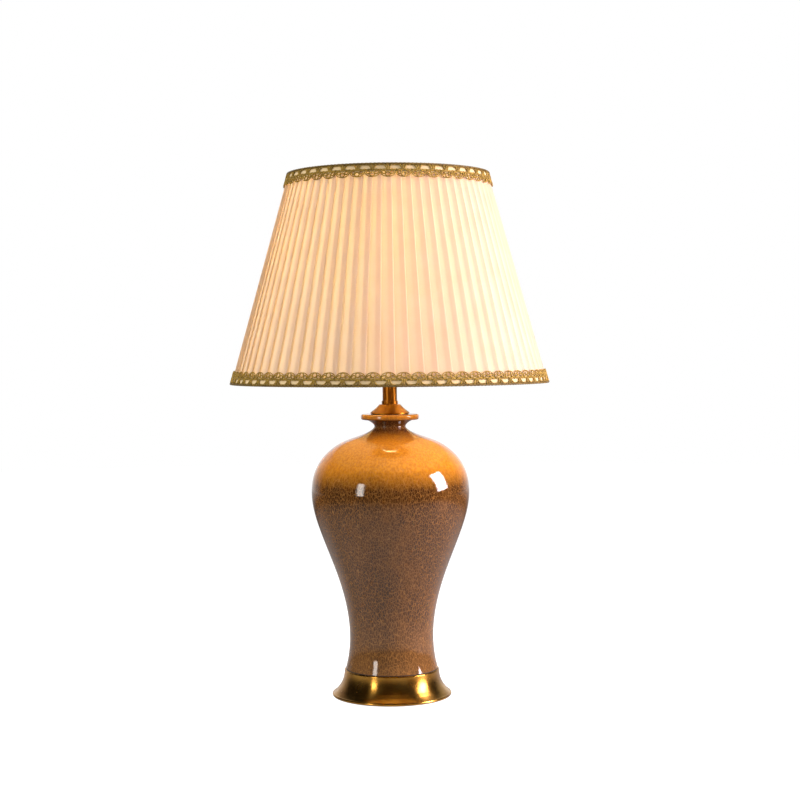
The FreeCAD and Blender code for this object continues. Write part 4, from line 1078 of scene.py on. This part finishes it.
CAMERA_PLACE = (0.0, -2.036, 0.4393)
CAMERA_YAW = 0.0063
CAMERA_PITCH = 0.0333
CAMERA_ROLL = 0.0077
LENS = 73.07
SENSOR = 36.0
FLOOR_RADIUS = 4.0
FLOOR_SIDES = 64
FLOOR_NEAR = (0.4, 0.4, 0.4)
FLOOR_FAR_SHADE = (0.02, 0.02, 0.02)
FLOOR_SEEN_NEAR = 0.9
FLOOR_SEEN_FAR = 1.0
FLOOR_SHADE_FADE = (0.25, 1.3)
FLOOR_SEEN_FADE = (0.2, 0.7)
FLOOR_MIRRORED_FROM = 1.0
SKY_LEVEL = 1.0
ROOM_LEVEL = 0.01
SKY_BLEND = (0.5, 0.95)
LAMP_DISTANCE = 1.6
LAMP_AIM = (0, 0, 0.25)


def floor():
    """A table that shows white to the camera, and white in reflections only behind the lamp."""
    mesh = bpy.data.meshes.new("floor")
    turn = [2 * math.pi * i / FLOOR_SIDES for i in range(FLOOR_SIDES)]
    rim = [(FLOOR_RADIUS * math.cos(a), FLOOR_RADIUS * math.sin(a), 0) for a in turn]
    mesh.from_pydata(rim, [], [tuple(range(FLOOR_SIDES))])
    table = bpy.data.objects.new("floor", mesh)
    bpy.context.scene.collection.objects.link(table)
    made, shader = material("white_table", roughness=0.9)
    where = add(made, "ShaderNodeTexCoord").outputs["Object"]
    away = add(made, "ShaderNodeVectorMath", {0: where}, operation="LENGTH").outputs["Value"]
    # Painted shade: the table's own colour darkens away from the lamp, as if it fell into shade
    # there.
    painted_far_shade = spread(made, away, 0.0, 1.0, *FLOOR_SHADE_FADE)
    link(made, mixed(made, painted_far_shade, FLOOR_NEAR, FLOOR_FAR_SHADE), shader, "Base Color")
    path = add(made, "ShaderNodeLightPath")
    level = spread(made, away, FLOOR_SEEN_NEAR, FLOOR_SEEN_FAR, *FLOOR_SEEN_FADE)
    seen = maths(made, "MULTIPLY", path.outputs["Is Camera Ray"], level)
    behind = add(made, "ShaderNodeSeparateXYZ", {"Vector": where}).outputs["Y"]
    upward = spread(made, behind, 0.0, 1.0, FLOOR_MIRRORED_FROM, FLOOR_RADIUS)
    mirrored = maths(made, "MULTIPLY", path.outputs["Is Glossy Ray"], upward)
    shader.inputs["Emission Color"].default_value = (1, 1, 1, 1)
    link(made, maths(made, "ADD", seen, mirrored), shader, "Emission Strength")
    mesh.materials.append(made)


def softbox(name, azimuth, height, size, roll, power, colour, mirrored=True):
    """A soft lamp that looks at the jar. Azimuth (right of the camera) and roll in degrees.

    One that isn't mirrored only lights: glaze and brass show no glint of it.
    """
    data = bpy.data.lights.new(name, "AREA")
    data.shape = "RECTANGLE"
    data.size, data.size_y = size
    data.energy = power
    data.color = colour
    lamp = bpy.data.objects.new(name, data)
    turn = math.radians(azimuth)
    across, ahead = LAMP_DISTANCE * math.sin(turn), LAMP_DISTANCE * math.cos(turn)
    lamp.location = (across, -ahead, height)
    aim = Vector(LAMP_AIM) - lamp.location
    rolled = Matrix.Rotation(math.radians(roll), 3, "Z").to_quaternion()
    lamp.rotation_euler = (aim.to_track_quat("-Z", "Y") @ rolled).to_euler()
    lamp.visible_glossy = mirrored
    bpy.context.scene.collection.objects.link(lamp)


def sky():
    """White to the camera, white behind the lamp and dimmer toward the front of the room."""
    world = bpy.data.worlds.new("studio")
    bpy.context.scene.world = world
    world.use_nodes = True
    tree = world.node_tree
    where = tree.nodes.new("ShaderNodeTexCoord")
    split = tree.nodes.new("ShaderNodeSeparateXYZ")
    tree.links.new(where.outputs["Generated"], split.inputs["Vector"])
    front = tree.nodes.new("ShaderNodeMapRange")
    tree.links.new(split.outputs["Y"], front.inputs["Value"])
    front.inputs["From Min"].default_value, front.inputs["From Max"].default_value = SKY_BLEND
    front.inputs["To Min"].default_value = ROOM_LEVEL
    front.inputs["To Max"].default_value = 1
    path = tree.nodes.new("ShaderNodeLightPath")
    shiny = tree.nodes.new("ShaderNodeMath")
    shiny.operation = "MAXIMUM"
    tree.links.new(path.outputs["Is Glossy Ray"], shiny.inputs[0])
    tree.links.new(path.outputs["Is Transmission Ray"], shiny.inputs[1])
    level = tree.nodes.new("ShaderNodeMix")
    tree.links.new(shiny.outputs["Value"], level.inputs["Factor"])
    level.inputs["A"].default_value = SKY_LEVEL
    tree.links.new(front.outputs["Result"], level.inputs["B"])
    seen = tree.nodes.new("ShaderNodeMix")
    tree.links.new(path.outputs["Is Camera Ray"], seen.inputs["Factor"])
    tree.links.new(level.outputs["Result"], seen.inputs["A"])
    seen.inputs["B"].default_value = 1.0
    background = tree.nodes["Background"]
    background.inputs["Color"].default_value = (1, 1, 1, 1)
    tree.links.new(seen.outputs["Result"], background.inputs["Strength"])


def camera():
    """The camera, turned a little as the photographer's was."""
    data = bpy.data.cameras.new("camera")
    data.lens = LENS
    data.sensor_width = SENSOR
    made = bpy.data.objects.new("camera", data)
    turned_right = Matrix.Rotation(-CAMERA_YAW, 4, "Z")
    tilted = Matrix.Rotation(math.pi / 2 - CAMERA_PITCH, 4, "X")
    rolled = Matrix.Rotation(-CAMERA_ROLL, 4, "Z")
    made.matrix_world = Matrix.Translation(CAMERA_PLACE) @ turned_right @ tilted @ rolled
    bpy.context.scene.collection.objects.link(made)
    bpy.context.scene.camera = made


floor()
softbox("left_softbox", -43, 0.48, (0.29, 0.58), 0, 6.0, (1.0, 0.97, 0.92))
softbox("left_fill", -82, 1.1, (0.9, 0.9), 0, 11.0, (1.0, 0.95, 0.86), mirrored=False)
softbox("right_softbox", 78, 0.76, (0.55, 0.86), 8, 58.0, (1.0, 0.85, 0.89))
sky()
camera()
bpy.context.scene.view_settings.view_transform = "Standard"
